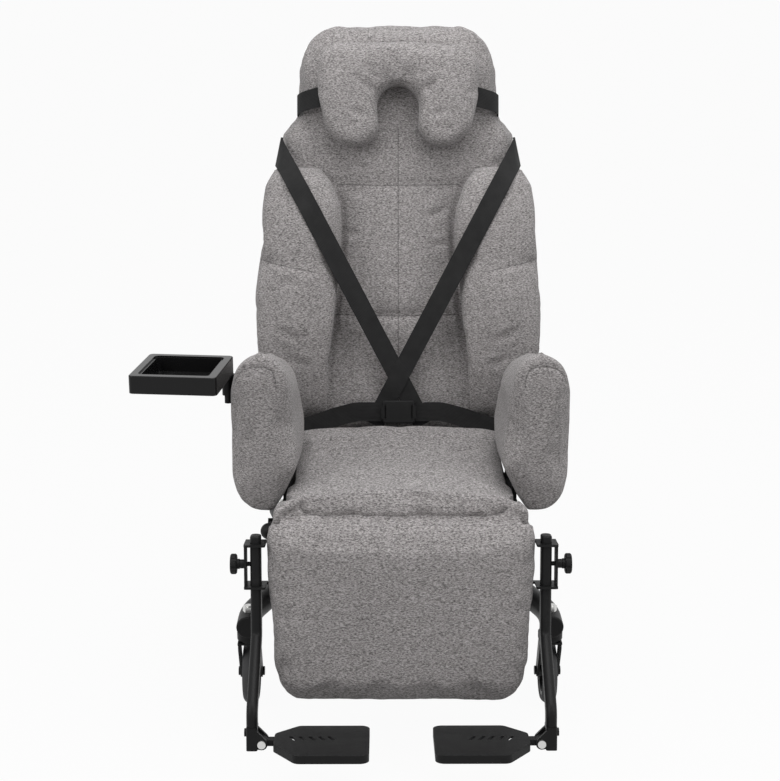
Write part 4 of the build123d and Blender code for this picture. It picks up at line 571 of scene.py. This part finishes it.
for x0, z0, x1, z1, deep in (
    (-0.192, 0.478, -0.168, 0.424, 0.0035), (0.206, 0.480, 0.182, 0.424, 0.0035),
    (-0.155, 0.426, -0.135, 0.456, 0.003), (0.150, 0.456, 0.168, 0.426, 0.003),
    (-0.212, 0.43, -0.178, 0.445, 0.002), (0.222, 0.43, 0.190, 0.445, 0.002),
):
    crease(seat, [(x0, z0), (x1, z1)], deep, 0.006)
cover(seat, "base", "seat_cushion", grey_cloth)

# Back: a plywood shell covered in dark cloth on a frame of two steel tubes, with a bent push bar,
# a foam grip on it and a squeeze lever for the gas spring.
dark_cloth = woven(
    "dark_backing_cloth", (0.022, 0.022, 0.023), (0.05, 0.05, 0.052), pitch=0.0026, bump=0.4, painted_seam_shade=False)
paint(dark_cloth, "back_shell")
paint(powder_coat, "back_frame", "push_bar")
foam = coated(
    "foam_sleeve", dark=(0.009, 0.009, 0.0092), light=(0.016, 0.016, 0.0162),
    smooth=0.75, rough=0.95, fine=700, broad=90, bump=0.9)
paint(foam, "push_grip")
paint(moulded_black, "release_lever")

# Back cushion: one long crowned pad with a centre seam and two cross seams that draw it into panels,
# sewn in the same flecked cloth.
BACK_TILT = math.radians(15.8)
BACK_HINGE = (0.215, 0.425)
BACK_FACE = -0.055
SHELL_FACE = 0.0145
BACK_SOFT = 0.015


def on_back(x, up, depth):
    """A place on the back given along its own height, seen from the front as x and z."""
    return x, BACK_HINGE[1] - depth * math.sin(BACK_TILT) + up * math.cos(BACK_TILT)


def back_local(places):
    """Places in the frame, in the back's own width, depth and height."""
    y = places[:, 1] - BACK_HINGE[0]
    z = places[:, 2] - BACK_HINGE[1]
    depth = y * math.cos(BACK_TILT) - z * math.sin(BACK_TILT)
    return places[:, 0], depth, y * math.sin(BACK_TILT) + z * math.cos(BACK_TILT)


def held_on_back(level):
    """Holds a pad's points near a plane of the tilted back."""
    return lambda places: np.clip(1 - (level - back_local(places)[1]) / BACK_SOFT, 0, 1)


back = stuffed("back_pad", "back_cushion", voxel=0.0085, cap=0.012, held=held_on_back(SHELL_FACE))
rumple(back, 0.11, 0.0016, 3)
centre_seam = [on_back(0, 0.03, BACK_FACE), on_back(0, 0.64, BACK_FACE)]
sew(back, 0, centre_seam, depth=0.0022, width=0.006, pucker=0.0004)
for up, ends in ((0.254, (-0.13, 0.13)), (0.52, (0.13, -0.13))):
    sew(back, 1, [on_back(x, up, BACK_FACE) for x in ends], depth=0.0035, width=0.008, pucker=0.0022)
for x0, up0, x1, up1, deep in (
    (0.045, 0.450, 0.105, 0.472, 0.0035), (-0.110, 0.512, -0.055, 0.498, 0.003),
    (0.060, 0.395, 0.110, 0.402, 0.0025), (-0.115, 0.315, -0.065, 0.275, 0.003),
    (0.060, 0.272, 0.115, 0.318, 0.003), (-0.100, 0.232, -0.050, 0.243, 0.0025),
    (-0.120, 0.425, -0.075, 0.418, 0.0025), (0.055, 0.500, 0.110, 0.512, 0.0025),
):
    crease(back, [on_back(x0, up0, BACK_FACE), on_back(x1, up1, BACK_FACE)], deep, 0.008)
cover(back, "back", "back_cushion", grey_cloth)

# Side bolsters: two full wings sewn to the back pad's edges, each with a curved cross seam. They are
# fullest at the elbows, and the back pad dips along their inner edges.
SHELVES = 71
SHELF_STEP = 0.01
WING_INSIDE = 0.19
WING_FACE = -0.1
FULL_HEIGHTS = (0.05, 0.10, 0.20, 0.26, 0.36, 0.50)
FULL_WIDTHS = (0.262, 0.277, 0.288, 0.288, 0.280, 0.255)
wing_seam = ((0.300, 0.800), (0.265, 0.800), (0.230, 0.797), (0.189, 0.790), (0.165, 0.784))
wings = []
for side, sign in (("left", -1), ("right", 1)):
    wing = stuffed(
        "wing_pad_" + side, "wing_" + side, voxel=0.0065, cap=0.010, held=held_on_back(SHELL_FACE))
    rumple(wing, 0.1, 0.003, 4 + sign)
    places = points_of(wing)[0]
    x, depth, height = back_local(places)
    shelf = np.clip((height / SHELF_STEP).astype(int), 0, SHELVES - 1)
    widest = np.array([np.max(np.abs(places[shelf == k, 0]), initial=0.2) for k in range(SHELVES)])
    shelf_middles = np.arange(SHELVES) * SHELF_STEP + SHELF_STEP / 2
    reach = np.interp(height, shelf_middles, widest)
    wanted = np.interp(height, FULL_HEIGHTS, FULL_WIDTHS)
    outward = np.clip((np.abs(x) - WING_INSIDE) / np.maximum(reach - WING_INSIDE, 0.02), 0, 1)
    places[:, 0] += sign * outward * np.maximum(wanted - reach, 0)
    put_points(wing, places)
    smooth_out(wing, 6)
    sew(wing, 0, [(sign * x, z) for x, z in wing_seam], depth=0.0022, width=0.006, pucker=0.0016)
    front = depth < -0.050
    inner = [
        (shelf_middles[k], np.min(np.abs(places[front & (shelf == k), 0]), initial=0.3))
        for k in range(9, 60)]
    crease(back, [on_back(sign * x, up, -0.06) for up, x in inner[::2] if x < 0.25], 0.006, 0.008)
    for x0, up0, x1, up1, deep in (
        (0.185, 0.205, 0.250, 0.232, 0.003), (0.180, 0.150, 0.225, 0.172, 0.003),
        (0.200, 0.330, 0.245, 0.322, 0.002),
    ):
        crease(wing, [on_back(sign * x0, up0, WING_FACE), on_back(sign * x1, up1, WING_FACE)], deep, 0.009)
    cover(wing, "back", "wing_" + side, grey_cloth)
    wings.append(wing)

# Head cushion: a horseshoe pillow with an elastic webbing band round the back, which slides up and
# down. Its two ends are drawn in towards each other.
LOBE_HEIGHT = 0.105
LOBE_DRAW = 0.16
HEAD_FACE = -0.1
head = stuffed("head_pad", "headrest_cushion", voxel=0.0055, cap=0.009, held=held_on_back(-0.06))
places = points_of(head)[0]
lobes = np.clip((places[:, 2].min() + LOBE_HEIGHT - places[:, 2]) / LOBE_HEIGHT, 0, 1)
places[:, 0] *= 1 - LOBE_DRAW * lobes ** 1.2
put_points(head, places)
rumple(head, 0.06, 0.0022, 8)
for sign in (-1, 1):
    for x0, up0, x1, up1, deep in ((0.045, 0.70, 0.085, 0.735, 0.004), (0.06, 0.655, 0.10, 0.668, 0.003)):
        crease(head, [on_back(sign * x0, up0, HEAD_FACE), on_back(sign * x1, up1, HEAD_FACE)], deep, 0.008)
cover(head, "headrest", "headrest_cushion", grey_cloth)

# Armrests: upright pads on flat steel bars that drop into sockets on the seat rails. They are slimmer
# above the seat, and a curved seam crosses the front near the top.
ARM_OUTSIDE = 0.304
ARM_SLIM = 0.905
ARM_SHIFT = 0.002
arm_seam = (
    (0.298, 0.655), (0.291, 0.672), (0.279, 0.685), (0.259, 0.691),
    (0.241, 0.6905), (0.227, 0.684), (0.221, 0.668), (0.220, 0.650))
paint(powder_coat, "armrest_bars_left", "armrest_bars_right")
for side, sign in (("left", -1), ("right", 1)):
    arm = stuffed(
        "arm_pad_" + side, "armrest_pad_" + side, voxel=0.007, cap=0.009,
        held=lambda places: np.zeros(len(places)))
    places = points_of(arm)[0]
    edge = sign * ARM_OUTSIDE
    slim = np.interp(places[:, 2], (0.50, 0.58), (1.0, ARM_SLIM))
    places[:, 0] = edge + (places[:, 0] - edge) * slim + sign * ARM_SHIFT
    put_points(arm, places)
    rumple(arm, 0.1, 0.0014, 11 + sign)
    sew(arm, 0, [(sign * x, z) for x, z in arm_seam], depth=0.002, width=0.004, pucker=0.0004)
    cover(arm, "armrest_" + side, "armrest_pad_" + side, grey_cloth)

# Tray: a moulded box with a stepped rim on a steel arm that swings about a post in the left
# armrest's bracket.
tray_plastic = coated(
    "satin_tray_moulding", dark=(0.005, 0.005, 0.0052), light=(0.009, 0.009, 0.0092),
    smooth=0.08, rough=0.2, fine=1300, broad=20, bump=0.05, shine=0.2)
paint(powder_coat, "tray_bracket", "tray_arm")
paint(tray_plastic, "tray_box")

# Legrest: a plywood board on two hinge straps with a flat pad over it; flat-bar brackets at its
# sides hold the footrest tubes, which star knobs clamp.
LEG_TILT = math.radians(9.5)
LEG_HINGE = (-0.274, 0.414)
LEG_BOARD_FACE = -0.012
LEG_TOP_LIFT = 0.0035
paint(powder_coat, "legrest_hinge_straps", "footrest_bracket_left", "footrest_bracket_right")


def held_on_leg(places):
    """Holds the pad's points on the legrest board."""
    y = places[:, 1] - LEG_HINGE[0]
    z = places[:, 2] - LEG_HINGE[1]
    depth = y * math.cos(LEG_TILT) - z * math.sin(LEG_TILT)
    return np.clip(1 - (LEG_BOARD_FACE - depth) / BOARD_SOFT, 0, 1)


leg = stuffed("leg_pad", "legrest_pad", voxel=0.0075, cap=0.006, held=held_on_leg, ease=0.002)
places = points_of(leg)[0]
places[:, 2] += LEG_TOP_LIFT * np.clip((places[:, 2] - 0.405) / 0.015, 0, 1)
put_points(leg, places)
rumple(leg, 0.12, 0.002, 14)
cover(leg, "legrest", "legrest_pad", grey_cloth)
paint(moulded_black, "clamp_knob_left", "clamp_knob_right", "legrest_lever")

# Gusset: a strip of the same cloth sewn under the seat's front seam and along the legrest's top, so that
# the hinge is covered.
GUSSET_HALF = 0.214
GUSSET_COLUMNS = 90
GUSSET_ROWS = 21
GUSSET_THICKNESS = 0.0012
ON_LEG = -0.286
ON_SEAT = -0.266
TUCKED_IN = 0.4295
gusset_line = np.array([
    (-0.2615, 0.4310), (-0.2640, 0.4262), (-0.2690, 0.4228), (-0.2760, 0.4222), (-0.2830, 0.4246),
    (-0.2890, 0.4282), (-0.2950, 0.4300), (-0.3020, 0.4296)])


def flat_grid(name, columns, rows):
    """A flat square of cloth or webbing, one metre wide, to be laid in its place."""
    bpy.ops.object.select_all(action="DESELECT")
    bpy.ops.mesh.primitive_grid_add(x_subdivisions=columns, y_subdivisions=rows, size=1)
    piece = bpy.context.object
    piece.name = name
    return piece


def run_lengths(route):
    """How far along a route each of its points lies."""
    return np.concatenate([[0], np.cumsum(np.linalg.norm(np.diff(route, axis=0), axis=1))])


def thicken(piece, thickness):
    """Gives a laid sheet its thickness, half to each side."""
    only(piece)
    thick = piece.modifiers.new("thick", "SOLIDIFY")
    thick.thickness = thickness
    thick.offset = 0
    bpy.ops.object.modifier_apply(modifier=thick.name)


gusset = flat_grid("seat_gusset", GUSSET_COLUMNS, GUSSET_ROWS)
flat = points_of(gusset)[0]
reach = run_lengths(gusset_line)
share = (0.5 - flat[:, 1]) * reach[-1]
ripple = 0.0012 * np.sin(flat[:, 0] * 71.0) * np.sin(flat[:, 0] * 23.0 + 0.6)
sag = np.sin(math.pi * share / reach[-1]) * ripple
strip = np.stack([
    flat[:, 0] * 2 * GUSSET_HALF,
    np.interp(share, reach, gusset_line[:, 0]),
    np.interp(share, reach, gusset_line[:, 1]) + sag], axis=1)
seat_front = BVHTree.FromObject(seat, bpy.context.evaluated_depsgraph_get())
leg_top = BVHTree.FromObject(leg, bpy.context.evaluated_depsgraph_get())
for place in strip:
    if place[1] < ON_LEG:
        hit = leg_top.ray_cast(Vector((place[0], place[1], 0.5)), Vector((0, 0, -1)), 0.12)[0]
        above = np.interp(place[1], (-0.302, -0.293), (-0.0045, 0.0009))
        place[2] = place[2] - 0.008 if hit is None else hit.z + above
    elif place[1] > ON_SEAT:
        hit = seat_front.ray_cast(Vector((place[0], -0.4, place[2])), Vector((0, 1, 0)), 0.3)[0]
        behind = -0.0008 if place[2] < TUCKED_IN else 0.0015
        place[1] = gusset_line[0, 0] if hit is None else hit.y + behind
put_points(gusset, strip)
thicken(gusset, GUSSET_THICKNESS)
bpy.ops.object.shade_smooth()
unsewn(gusset)
gusset.data.materials.clear()
gusset.data.materials.append(grey_cloth)
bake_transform(gusset)

# Footrests: flat-oval steel tubes bent forward, with a clevis at the foot that the slotted moulded
# footplates flip up in. The heads of the clevis bolts are zinc-plated.
FOOT_BOLT_HEAD = 0.0028
leg_front = Vector((0, -math.cos(LEG_TILT), math.sin(LEG_TILT)))
for side in ("left", "right"):
    paint(powder_coat, "footrest_tube_" + side, "footplate_clevis_" + side)
    paint(moulded_black, "footplate_" + side)
    clevis = nodes["footplate_clevis_" + side].data
    clevis.materials.append(zinc)
    front = max(face.center.dot(leg_front) for face in clevis.polygons)
    for face in clevis.polygons:
        face.material_index = int(face.center.dot(leg_front) > front - FOOT_BOLT_HEAD)

# Harness: black polyester webbing, two crossing shoulder straps sewn round the back's side edges and a
# lap belt with a side-release buckle; an elastic band of the same webbing holds the head cushion.
WEB_WIDTH = 0.038
WEB_THICKNESS = 0.0018
WEB_STEP = 0.0035
paint(moulded_black, "buckle_body", "buckle_latch_left", "buckle_latch_right")
webbing, tree, links, shader = start_finish("black_webbing")
place = add_node(tree, "TexCoord")
split = add_node(tree, "SeparateXYZ")
runs = []
for axis, pitch in (("X", 0.0016), ("Y", 0.0027)):
    turns = add_node(tree, "Math", operation="MULTIPLY")
    turns.inputs[1].default_value = 2 * math.pi / pitch
    links.new(split.outputs[axis], turns.inputs[0])
    runs.append(turns)
twill = add_node(tree, "Math", operation="ADD")
twill_wave = add_node(tree, "Math", operation="SINE")
cross_wave = add_node(tree, "Math", operation="SINE")
thread = add_node(tree, "Math", operation="MULTIPLY_ADD")
thread.inputs[1].default_value = 0.6
rub = add_node(tree, "TexNoise", Scale=40.0, Detail=4.0, Roughness=0.6)
worn = add_node(tree, "Math", operation="MULTIPLY_ADD")
worn.inputs[1].default_value = 0.25
tone = two_tones(tree, 0.2, (0.006, 0.006, 0.0062), 0.95, (0.017, 0.0168, 0.017))
relief = add_node(tree, "Bump", Strength=0.5, Distance=GRAIN_DEPTH)
wire(
    links,
    (place.outputs["UV"], split.inputs["Vector"]),
    (runs[0].outputs["Value"], twill.inputs[0]),
    (runs[1].outputs["Value"], twill.inputs[1]),
    (twill.outputs["Value"], twill_wave.inputs[0]),
    (runs[1].outputs["Value"], cross_wave.inputs[0]),
    (twill_wave.outputs["Value"], thread.inputs[0]),
    (cross_wave.outputs["Value"], thread.inputs[2]),
    (place.outputs["Object"], rub.inputs["Vector"]),
    (thread.outputs["Value"], worn.inputs[0]),
    (rub.outputs["Fac"], worn.inputs[2]),
    (worn.outputs["Value"], tone.inputs["Fac"]),
    (tone.outputs["Color"], shader.inputs["Base Color"]),
    (thread.outputs["Value"], relief.inputs["Height"]),
    (relief.outputs["Normal"], shader.inputs["Normal"]),
)
shader.inputs["Roughness"].default_value = 0.75
shader.inputs["Specular IOR Level"].default_value = 0.18


def back_world(x, depth, up):
    """Places given in the back's own depth and height, in the frame."""
    y = BACK_HINGE[0] + depth * math.cos(BACK_TILT) + up * math.sin(BACK_TILT)
    z = BACK_HINGE[1] - depth * math.sin(BACK_TILT) + up * math.cos(BACK_TILT)
    return np.stack([x, y, z], axis=-1)


def webbed(name, length, lay, body, node):
    """A length of webbing: a flat grid at its real size, laid along its way and given its thickness."""
    piece = flat_grid(name, int(length / WEB_STEP), 8)
    flat = points_of(piece)[0]
    put_points(piece, lay((flat[:, 0] + 0.5) * length, flat[:, 1]))
    spread = np.empty(len(piece.data.loops) * 2, np.float32)
    threads = piece.data.uv_layers.active.data
    threads.foreach_get("uv", spread)
    threads.foreach_set("uv", (spread.reshape(-1, 2) * np.array([length, WEB_WIDTH], np.float32)).ravel())
    thicken(piece, WEB_THICKNESS)
    bpy.ops.object.mode_set(mode="EDIT")
    bpy.ops.mesh.select_all(action="SELECT")
    bpy.ops.mesh.normals_make_consistent(inside=False)
    bpy.ops.object.mode_set(mode="OBJECT")
    bpy.ops.object.shade_smooth_by_angle(angle=math.radians(40))
    piece.data.materials.clear()
    piece.data.materials.append(webbing)
    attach(piece, body)
    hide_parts(node)


# Shoulder straps: each is drawn taut from the back's side edge over the wing and the chest, crosses the
# other and is sewn to the belt beside the buckle. The pads give way under it.
SHOULDER = np.array([0.245, 0.590])
EDGE_OUT = np.array([0.981, 0.196])
EDGE_UP = np.array([-0.196, 0.981])
STRAP_WAY = np.array([-0.467, -0.884])
STRAP_SIDE = np.array([0.884, -0.467])
STRAP_RUN = 0.525
STRAP_END = 0.632
STRAP_LENGTH = STRAP_END + 0.03
STRAP_FLAP = 0.003
SIDE_FORWARD = 0.027
BELT_FORWARD = 0.0889
PROBE_START = 0.4
pads = [back, *wings]
probes = [BVHTree.FromObject(pad, bpy.context.evaluated_depsgraph_get()) for pad in pads]
lanes = np.linspace(-0.5, 0.5, 9)
steps = np.linspace(0, 1, 220)


def lane_start(across):
    """Where a thread of the strap passes the back's side edge."""
    return (across * WEB_WIDTH * (STRAP_SIDE @ EDGE_OUT) - 0.0015) / -(STRAP_WAY @ EDGE_OUT)


def forward_at(sign, flat):
    """How far forward the pads stand at a place on the back."""
    start = back_world(sign * flat[0], -PROBE_START, flat[1])
    way = Vector((0, math.cos(BACK_TILT), -math.sin(BACK_TILT)))
    hits = [probe.ray_cast(Vector(start), way, 0.5) for probe in probes]
    return max((PROBE_START - hit[3] for hit in hits if hit[0] is not None), default=0.0)


def taut(runs, heights):
    """The straight pulls of a band over humps: the upper hull of its heights."""
    kept = []
    for point in zip(runs, heights):
        while len(kept) > 1:
            (x0, h0), (x1, h1) = kept[-2:]
            if (h1 - h0) * (point[0] - x0) > (point[1] - h0) * (x1 - x0):
                break
            kept.pop()
        kept.append(point)
    return np.interp(runs, [k[0] for k in kept], [k[1] for k in kept])


for side, sign, crossing in (("left", -1, 0.0912), ("right", 1, 0.0938)):
    heights = np.zeros((len(steps), len(lanes)))
    for column, across in enumerate(lanes):
        begin = lane_start(across)
        run = begin + steps * (STRAP_END - begin)
        lane = [SHOULDER + STRAP_WAY * s + STRAP_SIDE * across * WEB_WIDTH for s in run]
        rise = np.array([forward_at(sign, place) + 0.0012 for place in lane])
        rise[0] = SIDE_FORWARD
        upper = run < STRAP_RUN * 0.93
        pulled = taut(np.append(run[upper], STRAP_RUN * 0.94), np.append(rise[upper], crossing))
        heights[:, column] = np.interp(run, [STRAP_RUN + 0.02, STRAP_RUN + 0.05], [crossing, BELT_FORWARD])
        heights[upper, column] = pulled[:-1]
    middle = heights.mean(axis=1, keepdims=True)
    slope = (heights @ lanes / (lanes @ lanes))[:, None]
    level = middle + slope * lanes
    heights = level + 0.6 * np.max(heights - level, axis=1, keepdims=True)
    heights[0] = SIDE_FORWARD
    for _ in range(4):
        heights[1:-1] = (heights[:-2] + 2 * heights[1:-1] + heights[2:]) / 4

    def height_at(share, across):
        """The strap's height at places along and across it."""
        row = np.clip(share, 0, 1) * (len(steps) - 1)
        column = np.clip(across + 0.5, 0, 1) * (len(lanes) - 1)
        r = np.minimum(row.astype(int), len(steps) - 2)
        c = np.minimum(column.astype(int), len(lanes) - 2)
        fr = row - r
        fc = column - c
        return ((heights[r, c] * (1 - fr) + heights[r + 1, c] * fr) * (1 - fc)
                + (heights[r, c + 1] * (1 - fr) + heights[r + 1, c + 1] * fr) * fc)

    def lay_strap(along, across):
        """The strap's points, from the flap on the back's side edge down to the belt."""
        begin = lane_start(across)
        share = np.clip((along - STRAP_FLAP) / (STRAP_LENGTH - STRAP_FLAP), 0, 1)
        round_edge = np.clip(STRAP_FLAP - along, 0, None)
        flat = (SHOULDER + STRAP_WAY * (begin + share * (STRAP_END - begin))[:, None]
                + STRAP_SIDE * (across * WEB_WIDTH)[:, None]
                + (EDGE_UP * 0.1 - EDGE_OUT * 1.1) * round_edge[:, None])
        depth = np.where(round_edge > 0, round_edge - SIDE_FORWARD, -height_at(share, across))
        return back_world(sign * flat[:, 0], depth, flat[:, 1])

    webbed("shoulder_strap_web_" + side, STRAP_LENGTH, lay_strap, "back", "shoulder_strap_" + side)
    for pad in pads:
        x, depth, up = back_local(points_of(pad)[0])
        flat = np.stack([sign * x, up], axis=1) - SHOULDER
        across = flat @ STRAP_SIDE / WEB_WIDTH
        begin = lane_start(across)
        share = (flat @ STRAP_WAY - begin) / (STRAP_END - begin)
        limit = height_at(share, across) - 0.0014
        over = np.clip(-depth - limit, 0, 0.03)
        under = np.clip((0.68 - np.abs(across)) / 0.14, 0, 1) * ((share > 0) & (share < 1) & (depth < -0.02))
        put_points(pad, back_world(x, depth + over * under, up))

# Lap belt and head band: the belt's two halves come out of the buckle, bend round the wings' lower ends
# and are fixed behind the shell; the band goes from the head cushion's sides round the back.
BAND_WIDTH = 0.040


def eased(route, turns=14, step=0.003):
    """A route at even steps with its corners eased."""
    route = np.array(route)
    reach = run_lengths(route)
    even = np.linspace(0, reach[-1], int(reach[-1] / step) + 1)
    line = np.stack([np.interp(even, reach, route[:, k]) for k in range(3)], axis=1)
    for _ in range(turns):
        line[1:-1] = (line[:-2] + 2 * line[1:-1] + line[2:]) / 4
    return line


def lay_belt(route, tall=WEB_WIDTH):
    """The length of a belt along its route, and how it stands on edge along it."""
    line = eased(route)
    reach = run_lengths(line)
    heading = np.gradient(line, axis=0)
    heading /= np.linalg.norm(heading, axis=1)[:, None]

    def lay(along, across):
        middle = np.stack([np.interp(along, reach, line[:, k]) for k in range(3)], axis=1)
        way = np.stack([np.interp(along, reach, heading[:, k]) for k in range(3)], axis=1)
        upright = np.array([0, 0, 1]) - way * way[:, 2:3]
        upright /= np.linalg.norm(upright, axis=1)[:, None]
        x, depth, up = (middle + upright * (across * tall)[:, None]).T
        return back_world(x, depth, up)
    return reach[-1], lay


half_belt = (
    (0.031, -0.094, 0.057), (0.085, -0.0945, 0.058), (0.130, -0.0945, 0.046), (0.170, -0.094, 0.032),
    (0.207, -0.092, 0.022), (0.238, -0.072, 0.020), (0.241, 0.030, 0.026), (0.236, 0.0435, 0.038),
    (0.180, 0.0435, 0.052))
for side, sign in (("left", -1), ("right", 1)):
    length, lay = lay_belt([(sign * x, depth, up) for x, depth, up in half_belt])
    webbed("lap_belt_web_" + side, length, lay, "back", "lap_belt_" + side)
half_band = [
    (0.150, -0.092, 0.693), (0.166, -0.084, 0.692), (0.196, -0.054, 0.689),
    (0.2070, -0.030, 0.687), (0.2070, 0.030, 0.688), (0.196, 0.043, 0.690)]
length, lay = lay_belt([(-x, depth, up) for x, depth, up in half_band] + half_band[::-1], BAND_WIDTH)
webbed("head_band_web", length, lay, "headrest", "headrest_band")

# Studio: a pale floor that runs far back under a white sky, soft light from above and from both sides
# in front, and the photograph's camera. Camera and reflections see floor and sky brighter than they light.
SENSOR = 36
FOCAL_PIXELS = 1500
PHOTO_WIDTH = 780
CAMERA_DOWN = 16


def seen_directly(tree_nodes, links):
    """1 for the camera and reflections, 0 for the light that falls on the chair."""
    seen = add_node(tree_nodes, "LightPath")
    most = add_node(tree_nodes, "Math", operation="MAXIMUM")
    links.new(seen.outputs["Is Camera Ray"], most.inputs[0])
    links.new(seen.outputs["Is Glossy Ray"], most.inputs[1])
    return most


bpy.ops.object.select_all(action="DESELECT")
bpy.ops.mesh.primitive_plane_add(size=1, location=(0, 0, 0))
floor = bpy.context.object
floor.name = "studio_floor"
bpy.ops.object.mode_set(mode="EDIT")
bpy.ops.mesh.select_all(action="SELECT")
bpy.ops.transform.resize(value=(40, 80, 1))
bpy.ops.transform.translate(value=(0, 20, 0))
bpy.ops.object.mode_set(mode="OBJECT")
pale, tree, links, shader = start_finish("pale_paper")
shader.inputs["Base Color"].default_value = (0.42, 0.42, 0.42, 1)
shader.inputs["Roughness"].default_value = 0.9
glow = add_node(tree, "Emission", Color=(1, 1, 1, 1), Strength=1.0)
share = add_node(tree, "Math", operation="MULTIPLY")
share.inputs[1].default_value = 0.95
both = add_node(tree, "MixShader")
wire(
    links,
    (seen_directly(tree, links).outputs["Value"], share.inputs[0]),
    (share.outputs["Value"], both.inputs["Fac"]),
    (shader.outputs["BSDF"], both.inputs[1]),
    (glow.outputs["Emission"], both.inputs[2]),
    (both.outputs["Shader"], tree["Material Output"].inputs["Surface"]),
)
floor.data.materials.append(pale)

world = bpy.data.worlds.new("studio_world")
bpy.context.scene.world = world
world.use_nodes = True
tree, links = world.node_tree.nodes, world.node_tree.links
tree["Background"].inputs["Color"].default_value = (1, 1, 1, 1)
strength = add_node(tree, "MapRange", **{"To Min": 0.5, "To Max": 1.0})
links.new(seen_directly(tree, links).outputs["Value"], strength.inputs["Value"])
links.new(strength.outputs["Result"], tree["Background"].inputs["Strength"])
for name, place, size, power, aim in (
    ("top_light", (0.2, -0.6, 3.4), 2.4, 76, (0, 0.1, 0.6)),
    ("left_light", (-2.6, -1.9, 2.3), 1.8, 46, (0, 0, 0.8)),
    ("right_light", (2.6, -1.9, 2.3), 1.8, 36, (0, 0, 0.8)),
):
    lamp = bpy.data.lights.new(name, "AREA")
    lamp.size = size
    lamp.energy = power
    light = bpy.data.objects.new(name, lamp)
    bpy.context.collection.objects.link(light)
    light.location = place
    light.rotation_euler = (Vector(aim) - Vector(place)).to_track_quat("-Z", "Y").to_euler()

lens = bpy.data.cameras.new("photo_camera")
lens.sensor_fit = "HORIZONTAL"
lens.sensor_width = SENSOR
lens.lens = SENSOR * FOCAL_PIXELS / PHOTO_WIDTH
camera = bpy.data.objects.new("photo_camera", lens)
bpy.context.collection.objects.link(camera)
camera.location = (-0.030, -2.753, 1.380)
camera.rotation_euler = (math.radians(90 - CAMERA_DOWN), 0, math.radians(-0.25))
bpy.context.scene.camera = camera
bpy.context.scene.view_settings.view_transform = "Standard"
